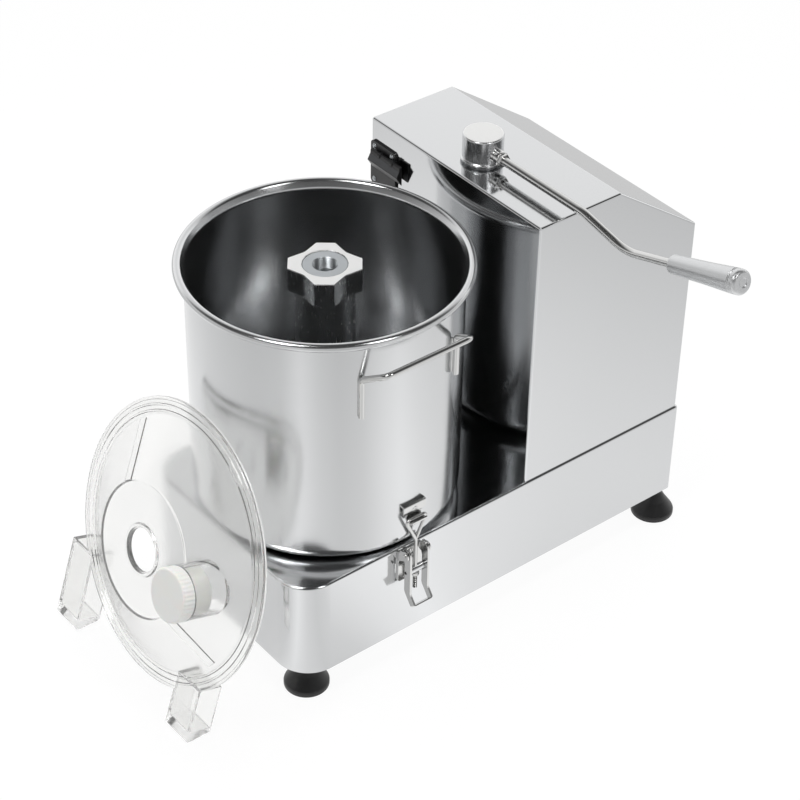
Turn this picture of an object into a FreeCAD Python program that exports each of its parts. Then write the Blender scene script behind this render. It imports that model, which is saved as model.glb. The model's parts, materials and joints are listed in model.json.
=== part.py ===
import FreeCAD, Part
import math
import os
import re
import Sketcher

# Bowl cutter: a low stainless base on rubber feet carries a clamped bowl at one end
# and a boxed motor at the other. A lever on the box swings over the bowl to hold the
# clear lid down, and in the parked position the lid leans against the base.
#
# Building frame: the spindle stands on X = 0, Y = 0, and the table is Z = 0. X runs
# from the bowl end to the motor end and Y runs to the machine's left. At the end the
# whole part is moved until its origin lies under the middle of its overall box.

V = FreeCAD.Vector
doc = FreeCAD.newDocument("bowl_cutter")

# Driving dimensions, in millimetres and degrees.
DRIVING = [
    ("fit", 0.05, "radial clearance of a shaft or a pin in its hole"),
    ("gap", 0.3, "gap between pieces that move past each other"),
    ("foot_height", 31, "table to the lower edge of the base"),
    ("foot_radius", 21, "rubber foot at its pad"),
    ("foot_pad", 5, "straight rim of the pad"),
    ("foot_neck", 7, "rubber foot at its neck"),
    ("foot_stud", 3, "threaded stud of a foot"),
    ("stud_nut", 6, "nut of a foot stud, across its corners halved"),
    ("foot_in_bowl", 24, "feet from the edges of the base, bowl end"),
    ("foot_in_motor", 12, "feet from the end of the base, motor end"),
    ("foot_in_side", 10, "feet from the sides of the base, motor end"),
    ("base_length", 453.5, "base housing"),
    ("base_width", 237, "base housing"),
    ("base_height", 101.4, "base housing"),
    ("bowl_end", 118, "spindle to the bowl end of the base"),
    ("base_corner", 33.5, "upright corners of the base at the bowl end"),
    ("back_corner", 4, "upright corners of the base at the motor end"),
    ("base_edge", 2.5, "rounded top edge of the base"),
    ("sheet", 1.5, "steel sheet"),
    ("plate_raise", 3, "bottom plate above the lower edge of the base"),
    ("tower_clear", 19, "bowl's wall to the front of the tower"),
    ("tower_inset", 2.5, "back of the tower from the back of the base"),
    ("tower_width", 233, "tower housing"),
    ("tower_height", 278.2, "tower housing"),
    ("tower_back_height", 208.9, "tower housing at its back"),
    ("tower_flat", 93.3, "level part of the tower's top"),
    ("tower_edge", 2, "folded edges of the tower"),
    ("window_side", 31.5, "service opening from the sides of the tower"),
    ("window_drop", 43.9, "service opening below the back edge of the tower"),
    ("window_raise", 45, "service opening above the base"),
    ("cover_lap", 10, "back cover over the edge of its opening"),
    ("slot_width", 90, "cooling slots of the back cover"),
    ("slot_height", 5, "cooling slots of the back cover"),
    ("slot_pitch", 12, "cooling slots of the back cover"),
    ("bowl_radius", 122, "outside of the bowl's wall"),
    ("bowl_height", 242.7, "bowl with its rim"),
    ("bowl_gap", 2.3, "seat under the bowl"),
    ("bowl_corner", 16, "rounding at the bottom of the bowl"),
    ("bead", 4, "rolled rim of the bowl"),
    ("bead_out", 5, "middle of the rolled rim from the bowl's wall"),
    ("flare", 9, "height of the flared wall under the rim"),
    ("tube_radius", 20, "tube in the middle of the bowl"),
    ("tube_below", 42.8, "top of the bowl's tube below the hub nut"),
    ("seat_in", 18, "seat ring inside the bowl's wall"),
    ("seat_width", 12, "seat ring under the bowl"),
    ("side_shift", 3, "handles and latches from the spindle, along X"),
    ("handle_rod", 2.9, "rod of a bowl handle"),
    ("handle_legs", 102, "between the legs of a bowl handle"),
    ("handle_bar", 90, "straight bar of a bowl handle"),
    ("handle_reach", 18, "bar of the handle from the bowl's wall"),
    ("handle_level", 26, "bar of the handle below the rim"),
    ("handle_knee", 16, "bend of the leg below the bar"),
    ("handle_leg", 39, "upright leg along the wall"),
    ("handle_bend", 7, "bends of the handle"),
    ("catch_width", 30, "catch plate on the bowl"),
    ("catch_low", 6, "catch plate below the crossbar"),
    ("catch_high", 17, "catch plate above the crossbar"),
    ("catch_sheet", 1.8, "catch plate and its hook"),
    ("hook_width", 10, "hook of the catch"),
    ("hook_floor", 3, "thickness of the hook under the crossbar"),
    ("hook_gap", 2.2, "room for the crossbar to swing out of its hook"),
    ("bail_level", 37.6, "crossbar of the bail above the base"),
    ("bail_out", 6, "crossbar of the bail from the bowl's wall"),
    ("bail_wire", 1.3, "wire of the bail"),
    ("bail_half", 10, "half of the crossbar"),
    ("bail_apex", 26, "crossbar to the point where the wires meet"),
    ("bail_corner", 3, "bends of the bail"),
    ("bail_rod", 2, "threaded rod of the bail"),
    ("bail_tail", 22, "threaded rod below the trunnion"),
    ("nut_radius", 3.6, "lock nut on the bail's rod"),
    ("nut_height", 3, "lock nut on the bail's rod"),
    ("latch_drop", 39, "crossbar to the pivot of the latch lever"),
    ("latch_throw", 21, "pivot to the trunnion"),
    ("latch_over", 0.8, "pivot outside the line of pull"),
    ("latch_pin", 2, "pivot pin and ends of the trunnion"),
    ("trunnion", 3.6, "trunnion between the arms"),
    ("lever_width", 22, "latch lever"),
    ("lever_sheet", 2.2, "arms of the latch lever"),
    ("lever_arm", 5, "half of an arm's width at its pins"),
    ("lever_reach", 62, "pivot to the end of the latch lever"),
    ("lever_kick", 9, "end of the latch lever from the pivot, outwards"),
    ("ear_gap", 0.5, "latch lever to the ears of its bracket"),
    ("latch_stand", 3.5, "inside of the latch from the base, at least"),
    ("bracket_width", 40, "latch bracket on the base"),
    ("bracket_drop", 39, "pivot to the lower edge of the bracket"),
    ("bracket_sheet", 2.5, "latch bracket"),
    ("bracket_foot", 4, "turned-out foot of the bracket"),
    ("lid_sheet", 3, "thickness of the lid"),
    ("lid_brim", 15, "level rim of the lid"),
    ("lid_skirt", 4, "turned-down edge of the lid"),
    ("crown_radius", 61.5, "raised middle of the lid"),
    ("crown_height", 30, "raised middle of the lid"),
    ("lid_hole", 19.7, "opening in the middle of the lid"),
    ("lug_near", 50, "first lug from the middle line of the lid"),
    ("lug_far_in", 32, "second lug from the far edge of the lid"),
    ("lug_width", 33, "lug of the lid"),
    ("lug_depth", 25, "lug behind the rim of the lid"),
    ("lug_wall", 3, "wall of a lug"),
    ("lug_near_raise", 31, "upper end of the first lug from the edge of the lid"),
    ("lug_far_raise", 57, "upper end of the second lug from the edge of the lid"),
    ("feed_radius", 24.2, "feed tube on the lid"),
    ("feed_wall", 2.5, "feed tube on the lid"),
    ("feed_place", 76, "feed tube from the middle of the lid"),
    ("feed_turn", 5, "direction of the feed tube on the lid"),
    ("feed_top", 45, "feed tube above the rim of the lid"),
    ("feed_root", 8, "lower end of the feed tube above the rim"),
    ("plug_head", 12, "cap on the feed tube"),
    ("plug_depth", 18, "cap inside the feed tube"),
    ("lid_lean", 17.5, "lean of the lid from upright"),
    ("lid_clear", 55.5, "bowl's wall to the middle of the leaning lid"),
    ("lid_side", 8.8, "middle of the lid from the machine's middle"),
    ("lid_level", 151, "middle of the lid above the table"),
    ("post_in", 33.5, "lever post behind the front of the tower"),
    ("post_radius", 8, "lever post"),
    ("post_depth", 52, "lever post below the tower's top"),
    ("bush_wall", 4, "bush of the lever post"),
    ("bush_depth", 26, "bush below the tower's top"),
    ("bush_rim", 2, "flange of the bush above the tower's top"),
    ("cap_radius", 18.5, "cap of the lever post"),
    ("cap_height", 25, "cap of the lever post"),
    ("boss_radius", 7, "boss that holds the lever rod"),
    ("boss_length", 8, "boss outside the cap"),
    ("arm_height", 12, "lever rod above the tower's top"),
    ("arm_rod", 4, "lever rod"),
    ("arm_over", 15.5, "level part of the lever rod beyond the tower's side"),
    ("arm_low", 69.5, "lowest point of the lever rod beyond the tower's side"),
    ("arm_out", 124.5, "start of the grip beyond the tower's side"),
    ("arm_drop", 11, "dip of the lever rod"),
    ("arm_rise", 17, "start of the grip above the dip"),
    ("arm_bend", 55, "bends of the lever rod"),
    ("grip_length", 80, "lever grip"),
    ("grip_thin", 8.3, "lever grip at the rod"),
    ("grip_thick", 10.8, "lever grip at its end"),
    ("grip_bore", 22, "rod inside the grip"),
    ("cam_radius", 13, "interlock cam"),
    ("cam_throw", 2.5, "cam off the middle of the post"),
    ("cam_height", 8, "interlock cam"),
    ("micro_length", 28, "interlock switch"),
    ("micro_width", 11, "interlock switch"),
    ("micro_height", 18, "interlock switch"),
    ("switch_in", 19.5, "middle of the switch plate from the tower's side"),
    ("switch_drop", 44.1, "middle of the switch plate below the tower's top"),
    ("plate_width", 36, "switch plate"),
    ("plate_height", 45, "switch plate"),
    ("plate_sheet", 2, "switch plate"),
    ("screw_side", 25, "switch screws apart, across"),
    ("screw_tall", 35, "switch screws apart, upright"),
    ("screw_radius", 1.5, "switch screws"),
    ("screw_head", 3, "heads of the switch screws"),
    ("hood_shift", 8.5, "switch hood from the middle of the switch plate"),
    ("hood_width", 43, "switch hood"),
    ("hood_height", 17, "switch hood"),
    ("hood_depth", 12, "switch hood"),
    ("hood_wall", 1.5, "switch hood"),
    ("hinge_out", 3.2, "hood's pin from the switch plate"),
    ("hinge_rise", 14, "hood's pin above the middle of the plate"),
    ("hinge_pin", 1, "hood's pin"),
    ("knuckle", 2.2, "knuckles of the hood's hinge"),
    ("knuckle_width", 3.5, "knuckles of the hood's hinge"),
    ("knuckle_side", 9, "knuckles from the middle of the hood"),
    ("button_radius", 4, "start and stop buttons"),
    ("button_side", 7, "buttons from the middle of the switch plate"),
    ("button_rise", 5.3, "buttons above the middle of the switch plate"),
    ("button_out", 3.5, "buttons in front of the switch plate"),
    ("button_travel", 2, "buttons"),
    ("button_stem", 14, "button behind the switch plate"),
    ("box_depth", 30, "switch box behind the tower's front"),
    ("hub_radius", 32.5, "lobes of the hub nut"),
    ("hub_waist", 25.5, "hub nut between its lobes"),
    ("hub_lobe", 17, "flat end of a lobe"),
    ("hub_height", 23.5, "hub nut"),
    ("hub_below", 6.9, "top of the hub nut below the rim"),
    ("hub_turn", 52, "direction of the hub nut's lobes"),
    ("hub_thread", 10, "threaded hole of the hub nut"),
    ("hub_sink", 12, "depth of the threaded hole"),
    ("ring_radius", 19.7, "ring let into the hub nut"),
    ("sleeve_radius", 26.5, "blade sleeve"),
    ("sleeve_gap", 1, "blade sleeve to the tube in the bowl"),
    ("sleeve_raise", 4, "blade sleeve above the bottom of the bowl"),
    ("sleeve_foot", 6, "foot flange of the blade sleeve"),
    ("blade_clear", 10, "tip of a blade from the bowl's wall"),
    ("blade_root", 34, "collar of a blade"),
    ("blade_width", 30, "blade at its root"),
    ("blade_tip", 12, "blade at its tip"),
    ("blade_sheet", 3, "blade"),
    ("blade_sweep", 26, "tip of a blade behind its root"),
    ("spacer_height", 18, "spacer between the blades"),
    ("ring_height", 8, "lock ring above the blades"),
    ("spindle_radius", 12.5, "spindle"),
    ("spindle_end", 8, "hub nut's flat above the end of the spindle"),
    ("spindle_tail", 14, "spindle below the middle of the belt"),
    ("bearing_radius", 27, "bearings"),
    ("bearing_width", 15, "bearings"),
    ("bearing_apart", 12, "between the bearings"),
    ("carrier_wall", 7, "bearing carrier"),
    ("carrier_flange", 52, "bearing carrier"),
    ("carrier_plate", 8, "flange of the bearing carrier"),
    ("spigot_height", 14, "spigot of the carrier in the bowl's tube"),
    ("seal_height", 6, "shaft seal"),
    ("belt_drop", 16.9, "middle of the belt below the bearings"),
    ("belt_width", 14, "drive belt"),
    ("belt_depth", 4, "drive belt"),
    ("pulley_rim", 2, "rims of the pulleys"),
    ("pulley_large", 42, "spindle pulley under the belt"),
    ("pulley_small", 34, "motor pulley under the belt"),
    ("motor_clear", 30, "motor from the front and back of the tower"),
    ("motor_height", 150, "motor"),
    ("flange_rim", 12, "motor flange outside the motor"),
    ("flange_sheet", 8, "motor flange"),
    ("motor_bolt", 4, "bolts of the motor flange"),
    ("shaft_radius", 9.5, "motor shaft"),
    ("shaft_depth", 60, "motor shaft inside the motor"),
    ("gland_radius", 9, "cable gland"),
    ("gland_bore", 4, "cable gland"),
    ("gland_in", 38.5, "cable gland from the side of the base"),
    ("gland_raise", 49, "cable gland above the lower edge of the base"),
]

# Places that follow from the driving dimensions.
PLACES = [
    ("probe", "0"),
    ("shift_along", "0"),
    ("shift_across", "0"),
    ("base_top", "foot_height + base_height"),
    ("base_back", "base_length - bowl_end"),
    ("half_base", "base_width / 2"),
    ("half_tower", "tower_width / 2"),
    ("tower_top", "base_top + tower_height"),
    ("tower_front", "bowl_radius + tower_clear"),
    ("tower_back", "base_back - tower_inset"),
    ("tower_ridge", "tower_front + tower_flat"),
    ("tower_back_top", "base_top + tower_back_height"),
    ("window_width", "tower_width - 2 * window_side"),
    ("window_height", "tower_back_height - window_raise - window_drop"),
    ("post_place", "tower_front + post_in"),
    ("plate_low", "foot_height + plate_raise"),
    ("bowl_bottom", "base_top + bowl_gap"),
    ("bowl_floor", "bowl_bottom + sheet"),
    ("rim_top", "bowl_bottom + bowl_height"),
    ("seat_outer", "bowl_radius - seat_in"),
    ("seat_inner", "seat_outer - seat_width"),
    ("tube_bore", "tube_radius - sheet"),
    ("spigot_radius", "tube_bore - gap"),
    ("leg_ring", "bowl_radius + handle_rod"),
    ("leg_back", "side_shift - handle_legs / 2"),
    ("leg_front", "side_shift + handle_legs / 2"),
    ("bar_level", "rim_top - handle_level"),
    ("bar_side", "bowl_radius + handle_reach"),
    ("latch_ring", "max(bowl_radius; half_base + latch_stand)"),
    ("bail_side", "latch_ring + bail_out"),
    ("bail_top", "base_top + bail_level"),
    ("pivot_side", "bail_side + latch_over"),
    ("pivot_level", "bail_top - latch_drop"),
    ("trunnion_level", "pivot_level - latch_throw"),
    ("arm_inner", "lever_width / 2 - lever_sheet"),
    ("ear_inner", "lever_width / 2 + ear_gap"),
    ("lid_radius", "bowl_radius + bead_out + bead"),
    ("lid_out", "bowl_radius + lid_clear"),
    ("lug_far", "lid_radius - lug_far_in"),
    ("lug_near_root", "lid_radius - lug_near_raise"),
    ("lug_far_root", "lid_radius - lug_far_raise"),
    ("post_top", "tower_top + bush_rim + gap"),
    ("arm_level", "half_tower + arm_over"),
    ("arm_dip", "half_tower + arm_low"),
    ("arm_end", "half_tower + arm_out"),
    ("rod_level", "tower_top + arm_height"),
    ("dip_level", "rod_level - arm_drop"),
    ("grip_level", "dip_level + arm_rise"),
    ("grip_tilt", "atan(arm_rise / (arm_end - arm_dip))"),
    ("switch_side", "half_tower - switch_in"),
    ("switch_level", "tower_top - switch_drop"),
    ("plate_face", "tower_front - plate_sheet"),
    ("hood_side", "switch_side - hood_shift"),
    ("hinge_level", "switch_level + hinge_rise"),
    ("hinge_place", "plate_face - hinge_out"),
    ("sleeve_bore", "tube_radius + sleeve_gap"),
    ("sleeve_low", "bowl_floor + sleeve_raise"),
    ("hub_level", "rim_top - hub_below"),
    ("sleeve_top", "hub_level - hub_height"),
    ("tube_height", "sleeve_top - tube_below - bowl_floor"),
    ("blade_reach", "bowl_radius - blade_clear"),
    ("blade_low", "sleeve_low + sleeve_foot"),
    ("blade_high", "blade_low + blade_sheet + spacer_height"),
    ("collar_top", "blade_high + blade_sheet"),
    ("carrier_top", "base_top - sheet"),
    ("bearing_high", "carrier_top - bearing_width - carrier_plate"),
    ("bearing_low", "bearing_high - bearing_apart - bearing_width"),
    ("belt_level", "bearing_low - belt_drop"),
    ("belt_low", "belt_level - belt_width / 2"),
    ("spindle_low", "belt_level - spindle_tail"),
    ("motor_place", "(tower_front + tower_back) / 2"),
    ("motor_radius", "(tower_back - tower_front) / 2 - motor_clear"),
    ("motor_flange", "motor_radius + flange_rim"),
    ("motor_low", "base_top + flange_sheet"),
    ("gland_side", "half_base - gland_in"),
    ("gland_level", "foot_height + gland_raise"),
]

sizes = doc.addObject("Spreadsheet::Sheet", "Sizes")
for row, (alias, number, note) in enumerate(DRIVING, start=1):
    sizes.set("A%d" % row, note)
    sizes.set("B%d" % row, str(number))
    sizes.setAlias("B%d" % row, alias)
doc.recompute()

SIZE_NAMES = {alias for alias, number, note in DRIVING}
PLACE_NAMES = {name for name, rule in PLACES}


def cells(rule):
    """Point the names in a rule at the sheet and at the places."""
    def swap(found):
        name = found.group()
        if name in SIZE_NAMES:
            return "Sizes." + name
        if name in PLACE_NAMES:
            return "Places." + name
        return name
    return re.sub(r"[a-z_]+", swap, str(rule))


places = doc.addObject("App::FeaturePython", "Places")
for name, rule in PLACES:
    places.addProperty("App::PropertyFloat", name)
for name, rule in PLACES:
    places.setExpression(name, cells(rule))
doc.recompute()

subparts = []


def value(rule):
    """Work out a rule as a number."""
    places.setExpression("probe", cells(rule))
    places.recompute()
    return places.probe


def bind(item, **rules):
    """Bind an object's properties to rules."""
    for name, rule in rules.items():
        item.setExpression(name, cells(rule))
    return item


def place(item, x=0, y=0, z=0):
    """Bind an object's position to rules."""
    for axis, rule in zip("xyz", (x, y, z)):
        item.setExpression("Placement.Base." + axis, cells(rule))
    return item


def subpart(label, item, x="0", y="0", z="0"):
    """Name a finished piece and set it in the part's frame."""
    item.Label = label
    place(item, "%s + shift_along" % x, "%s + shift_across" % y, z)
    subparts.append(item)
    return item


# Solids from plain forms.

TURNS = {
    "X": FreeCAD.Rotation(V(0, 1, 0), 90),
    "Y": FreeCAD.Rotation(V(1, 0, 0), -90),
    "Z": FreeCAD.Rotation(),
}


def cylinder(radius, height, x=0, y=0, z=0, along="Z"):
    item = doc.addObject("Part::Cylinder", "cylinder")
    item.Placement.Rotation = TURNS[along]
    bind(item, Radius=radius, Height=height)
    return place(item, x, y, z)


def cone(low, high, height, x=0, y=0, z=0):
    item = doc.addObject("Part::Cone", "cone")
    bind(item, Radius1=low, Radius2=high, Height=height)
    return place(item, x, y, z)


def sphere(radius, x=0, y=0, z=0):
    item = doc.addObject("Part::Sphere", "sphere")
    bind(item, Radius=radius)
    return place(item, x, y, z)


def block(length, width, height, x=0, y=0, z=0):
    """A box centred on X and Y that stands on Z."""
    item = doc.addObject("Part::Box", "block")
    bind(item, Length=length, Width=width, Height=height)
    return place(item, "%s - (%s) / 2" % (x, length), "%s - (%s) / 2" % (y, width), z)


def hexagon(radius, height, x=0, y=0, z=0):
    item = doc.addObject("Part::Prism", "hexagon")
    item.Polygon = 6
    bind(item, Circumradius=radius, Height=height)
    return place(item, x, y, z)


def cut(base, *tools):
    for tool in tools:
        item = doc.addObject("Part::Cut", "cut")
        item.Base = base
        item.Tool = tool
        base = item
    return base


def fuse(*pieces):
    item = doc.addObject("Part::MultiFuse", "fuse")
    item.Shapes = list(pieces)
    item.Refine = True
    return item


def common(base, tool):
    item = doc.addObject("Part::Common", "common")
    item.Base = base
    item.Tool = tool
    return item


def group(*pieces):
    item = doc.addObject("Part::Compound", "group")
    item.Links = list(pieces)
    return item


def on_the_left(item):
    """The same piece on the other side of the machine."""
    mirror = doc.addObject("Part::Mirroring", "mirror")
    mirror.Source = item
    mirror.Normal = V(0, 1, 0)
    return group(mirror)


def bent_path(points, bend):
    """Straight runs through points, joined by tangent arcs."""
    edges = []
    start = points[0]
    for before, corner, after in zip(points, points[1:], points[2:]):
        back = (before - corner).normalize()
        ahead = (after - corner).normalize()
        half = back.getAngle(ahead) / 2
        reach = bend / math.tan(half)
        middle = corner + (back + ahead).normalize() * (bend / math.sin(half) - bend)
        finish = corner + ahead * reach
        edges.append(Part.LineSegment(start, corner + back * reach).toShape())
        edges.append(Part.Arc(corner + back * reach, middle, finish).toShape())
        start = finish
    edges.append(Part.LineSegment(start, points[-1]).toShape())
    return Part.Wire(edges)


def rod(radius, bend, *corners):
    """A round rod bent along corners, each given by three rules."""
    points = [V(*[value(rule) for rule in corner]) for corner in corners]
    path = doc.addObject("Part::Feature", "path")
    path.Shape = bent_path(points, value(bend))
    ring = doc.addObject("Part::Circle", "ring")
    bind(ring, Radius=radius)
    ring.Placement = FreeCAD.Placement(points[0], FreeCAD.Rotation(V(0, 0, 1), points[1] - points[0]))
    sweep = doc.addObject("Part::Sweep", "rod")
    sweep.Sections = [ring]
    sweep.Spine = (path, ["Edge%d" % number for number in range(1, len(path.Shape.Edges) + 1)])
    sweep.Solid = True
    return sweep


# Solids from sketches.


def new_body(name):
    return doc.addObject("PartDesign::Body", name)


def new_sketch(body, role, off="0"):
    """A sketch on one of the body's own planes, moved along the plane's normal."""
    sketch = body.newObject("Sketcher::SketchObject", "sketch")
    for feature in body.Origin.OriginFeatures:
        if feature.Role == role:
            sketch.AttachmentSupport = [(feature, "")]
    sketch.MapMode = "FlatFace"
    sketch.setExpression("AttachmentOffset.Base.z", cells(off))
    return sketch


def pin_down(sketch, shape, end, x, y):
    """Hold a point of the sketch at two rules."""
    for kind, rule, axis in (("DistanceX", x, -2), ("DistanceY", y, -1)):
        if str(rule) == "0":
            sketch.addConstraint(Sketcher.Constraint("PointOnObject", shape, end, axis))
        else:
            number = sketch.addConstraint(
                Sketcher.Constraint(kind, -1, 1, shape, end, value(rule)))
            sketch.setExpression("Constraints[%d]" % number, cells(rule))


def circles(body, role, *rings, off="0"):
    """Circles given by rules for X, Y and the radius."""
    sketch = new_sketch(body, role, off)
    for x, y, radius in rings:
        centre = V(value(x), value(y), 0)
        shape = sketch.addGeometry(Part.Circle(centre, V(0, 0, 1), value(radius)))
        pin_down(sketch, shape, 3, x, y)
        number = sketch.addConstraint(Sketcher.Constraint("Radius", shape, value(radius)))
        sketch.setExpression("Constraints[%d]" % number, cells(radius))
    return sketch


def outline(body, role, *corners, off="0"):
    """A closed line through corners; a corner's third rule is its radius."""
    sketch = new_sketch(body, role, off)
    points = [V(value(corner[0]), value(corner[1]), 0) for corner in corners]
    count = len(corners)
    ins, outs, arcs = list(points), list(points), {}
    for k, corner in enumerate(corners):
        if len(corner) == 3:
            ins[k], outs[k], arcs[k] = corner_arc(points[k - 1], points[k],
                                                  points[(k + 1) % count], value(corner[2]))
    lines = [sketch.addGeometry(Part.LineSegment(outs[k], ins[(k + 1) % count]))
             for k in range(count)]
    for k, corner in enumerate(corners):
        before, after = lines[k - 1], lines[k]
        if k not in arcs:
            sketch.addConstraint(Sketcher.Constraint("Coincident", before, 2, after, 1))
            pin_down(sketch, after, 1, corner[0], corner[1])
            continue
        arc, forward = arcs[k]
        shape = sketch.addGeometry(arc)
        first, last = (1, 2) if forward else (2, 1)
        sketch.addConstraint(Sketcher.Constraint("Tangent", before, 2, shape, first))
        sketch.addConstraint(Sketcher.Constraint("Tangent", after, 1, shape, last))
        number = sketch.addConstraint(Sketcher.Constraint("Radius", shape, arc.Radius))
        sketch.setExpression("Constraints[%d]" % number, cells(corner[2]))
        tip = sketch.addGeometry(Part.Point(points[k]), True)
        sketch.addConstraint(Sketcher.Constraint("PointOnObject", tip, 1, before))
        sketch.addConstraint(Sketcher.Constraint("PointOnObject", tip, 1, after))
        pin_down(sketch, tip, 1, corner[0], corner[1])
    return sketch


def corner_arc(before, corner, after, radius):
    """The arc that rounds a corner, its two ends and whether it turns left."""
    back = (before - corner).normalize()
    ahead = (after - corner).normalize()
    half = back.getAngle(ahead) / 2
    centre = corner + (back + ahead).normalize() * (radius / math.sin(half))
    enter = corner + back * (radius / math.tan(half))
    leave = corner + ahead * (radius / math.tan(half))
    left = (corner - before).cross(after - corner).z > 0
    first, last = (enter, leave) if left else (leave, enter)
    angles = [math.atan2(point.y - centre.y, point.x - centre.x) for point in (first, last)]
    ring = Part.Circle(centre, V(0, 0, 1), radius)
    return enter, leave, (Part.ArcOfCircle(ring, angles[0], angles[1]), left)


def pad(body, sketch, length, both=False):
    feature = body.newObject("PartDesign::Pad", "pad")
    feature.Profile = sketch
    feature.SideType = "Symmetric" if both else "One side"
    bind(feature, Length=length)
    body.Tip = feature
    return feature


def pocket(body, sketch, length, both=False, ahead=False):
    """A pocket cut behind its sketch, or ahead of it."""
    feature = body.newObject("PartDesign::Pocket", "pocket")
    feature.Profile = sketch
    feature.SideType = "Symmetric" if both else "One side"
    feature.Reversed = ahead
    bind(feature, Length=length)
    body.Tip = feature
    return feature


def turn(body, sketch, kind="Revolution", line="V_Axis"):
    """A solid turned about an axis of its sketch."""
    feature = body.newObject("PartDesign::" + kind, "turned")
    feature.Profile = sketch
    feature.ReferenceAxis = (sketch, [line])
    feature.Angle = 360
    body.Tip = feature
    return feature


def soften(body, radius, test, kind="Fillet"):
    """Round the edges of the body so far that pass a test."""
    doc.recompute()
    base = body.Tip
    names = ["Edge%d" % number for number, edge in enumerate(base.Shape.Edges, start=1)
             if test(edge.BoundBox)]
    feature = body.newObject("PartDesign::" + kind, "softened")
    feature.Base = (base, names)
    bind(feature, **{"Radius" if kind == "Fillet" else "Size": radius})
    body.Tip = feature
    return feature


def turned(name, *corners):
    """A body turned about Z from corners given by radius and height."""
    body = new_body(name)
    turn(body, outline(body, "XZ_Plane", *corners))
    return body


def level(box, height):
    return abs(box.ZMin - height) < 0.01 and abs(box.ZMax - height) < 0.01


# The base and its feet.

NEAR_FEET = [("foot_in_bowl - bowl_end", "half_base - foot_in_bowl"),
             ("base_back - foot_in_motor", "half_base - foot_in_side")]
FEET = [(x, sign + "(" + y + ")") for x, y in NEAR_FEET for sign in ("-", "")]


def base_sketch(body, inset, corner_inset, off):
    """The base's outline, or one set in from it."""
    return outline(
        body, "XY_Plane",
        ("-bowl_end + " + inset, "-half_base + " + inset, "base_corner - " + corner_inset),
        ("base_back - " + inset, "-half_base + " + inset, "back_corner - " + corner_inset),
        ("base_back - " + inset, "half_base - " + inset, "back_corner - " + corner_inset),
        ("-bowl_end + " + inset, "half_base - " + inset, "base_corner - " + corner_inset),
        off=off)


def base_housing():
    body = new_body("base_housing")
    pad(body, base_sketch(body, "0", "0", "foot_height"), "base_height")
    soften(body, "base_edge", lambda box: level(box, value("base_top")))
    pocket(body, base_sketch(body, "sheet", "sheet", "foot_height"), "base_height - sheet",
           ahead=True)
    holes = circles(body, "XY_Plane", ("0", "0", "spigot_radius + gap"),
                    ("motor_place", "0", "shaft_radius + carrier_wall"), off="base_top")
    pocket(body, holes, "2 * sheet")
    inlet = circles(body, "YZ_Plane", ("-gland_side", "gland_level", "gland_radius - sheet"),
                    off="base_back")
    pocket(body, inlet, "2 * sheet")
    return subpart("base_housing", body)


def base_plate():
    body = new_body("base_plate")
    pad(body, base_sketch(body, "(sheet + fit)", "(sheet + fit)", "plate_low"), "sheet")
    holes = circles(body, "XY_Plane", *[(x, y, "foot_stud + fit") for x, y in FEET],
                    off="plate_low + sheet")
    pocket(body, holes, "2 * sheet")
    return subpart("base_plate", body)


def feet():
    soles = []
    studs = []
    for x, y in FEET:
        sole = fuse(cylinder("foot_radius", "foot_pad", x, y, 0),
                    cone("foot_radius", "foot_neck", "foot_height - foot_pad", x, y, "foot_pad"),
                    cylinder("foot_neck", "plate_raise", x, y, "foot_height"))
        bore = cylinder("foot_stud + fit", "plate_low", x, y, "foot_height / 2")
        soles.append(cut(sole, bore))
        studs.append(fuse(
            cylinder("foot_stud", "plate_low + 2 * stud_nut - foot_height / 2", x, y,
                     "foot_height / 2"),
            hexagon("stud_nut", "stud_nut", x, y, "plate_low + sheet")))
    subpart("feet", group(*soles))
    subpart("foot_studs", group(*studs))


# The motor's tower and its back cover.


def tower_housing():
    body = new_body("tower_housing")
    outer = outline(
        body, "XZ_Plane",
        ("tower_front", "base_top"), ("tower_back", "base_top"),
        ("tower_back", "tower_back_top", "tower_edge"), ("tower_ridge", "tower_top", "tower_edge"),
        ("tower_front", "tower_top", "tower_edge"))
    pad(body, outer, "tower_width", both=True)
    side = value("half_tower")
    soften(body, "tower_edge",
           lambda box: abs(abs(box.YMin) - side) < 0.01 and box.YLength < 0.01
           and not level(box, value("base_top")))
    inner = outline(
        body, "XZ_Plane",
        ("tower_front + sheet", "base_top"), ("tower_back - sheet", "base_top"),
        ("tower_back - sheet", "tower_back_top - sheet * 0.6"),
        ("tower_ridge - sheet * 0.2", "tower_top - sheet"),
        ("tower_front + sheet", "tower_top - sheet"))
    pocket(body, inner, "tower_width - 2 * sheet", both=True)
    post_hole = circles(body, "XY_Plane", ("post_place", "0", "post_radius + bush_wall"),
                        off="tower_top")
    pocket(body, post_hole, "2 * sheet")
    for side_rule in ("- button_side", "+ button_side"):
        hole = circles(body, "YZ_Plane", ("switch_side " + side_rule,
                                          "switch_level + button_rise", "button_radius + gap"),
                       off="tower_front")
        pocket(body, hole, "2 * sheet", ahead=True)
    window = outline(
        body, "YZ_Plane",
        ("-window_width / 2", "base_top + window_raise", "sheet"),
        ("window_width / 2", "base_top + window_raise", "sheet"),
        ("window_width / 2", "base_top + window_raise + window_height", "sheet"),
        ("-window_width / 2", "base_top + window_raise + window_height", "sheet"),
        off="tower_back")
    pocket(body, window, "2 * sheet")
    return subpart("tower_housing", body)


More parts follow.
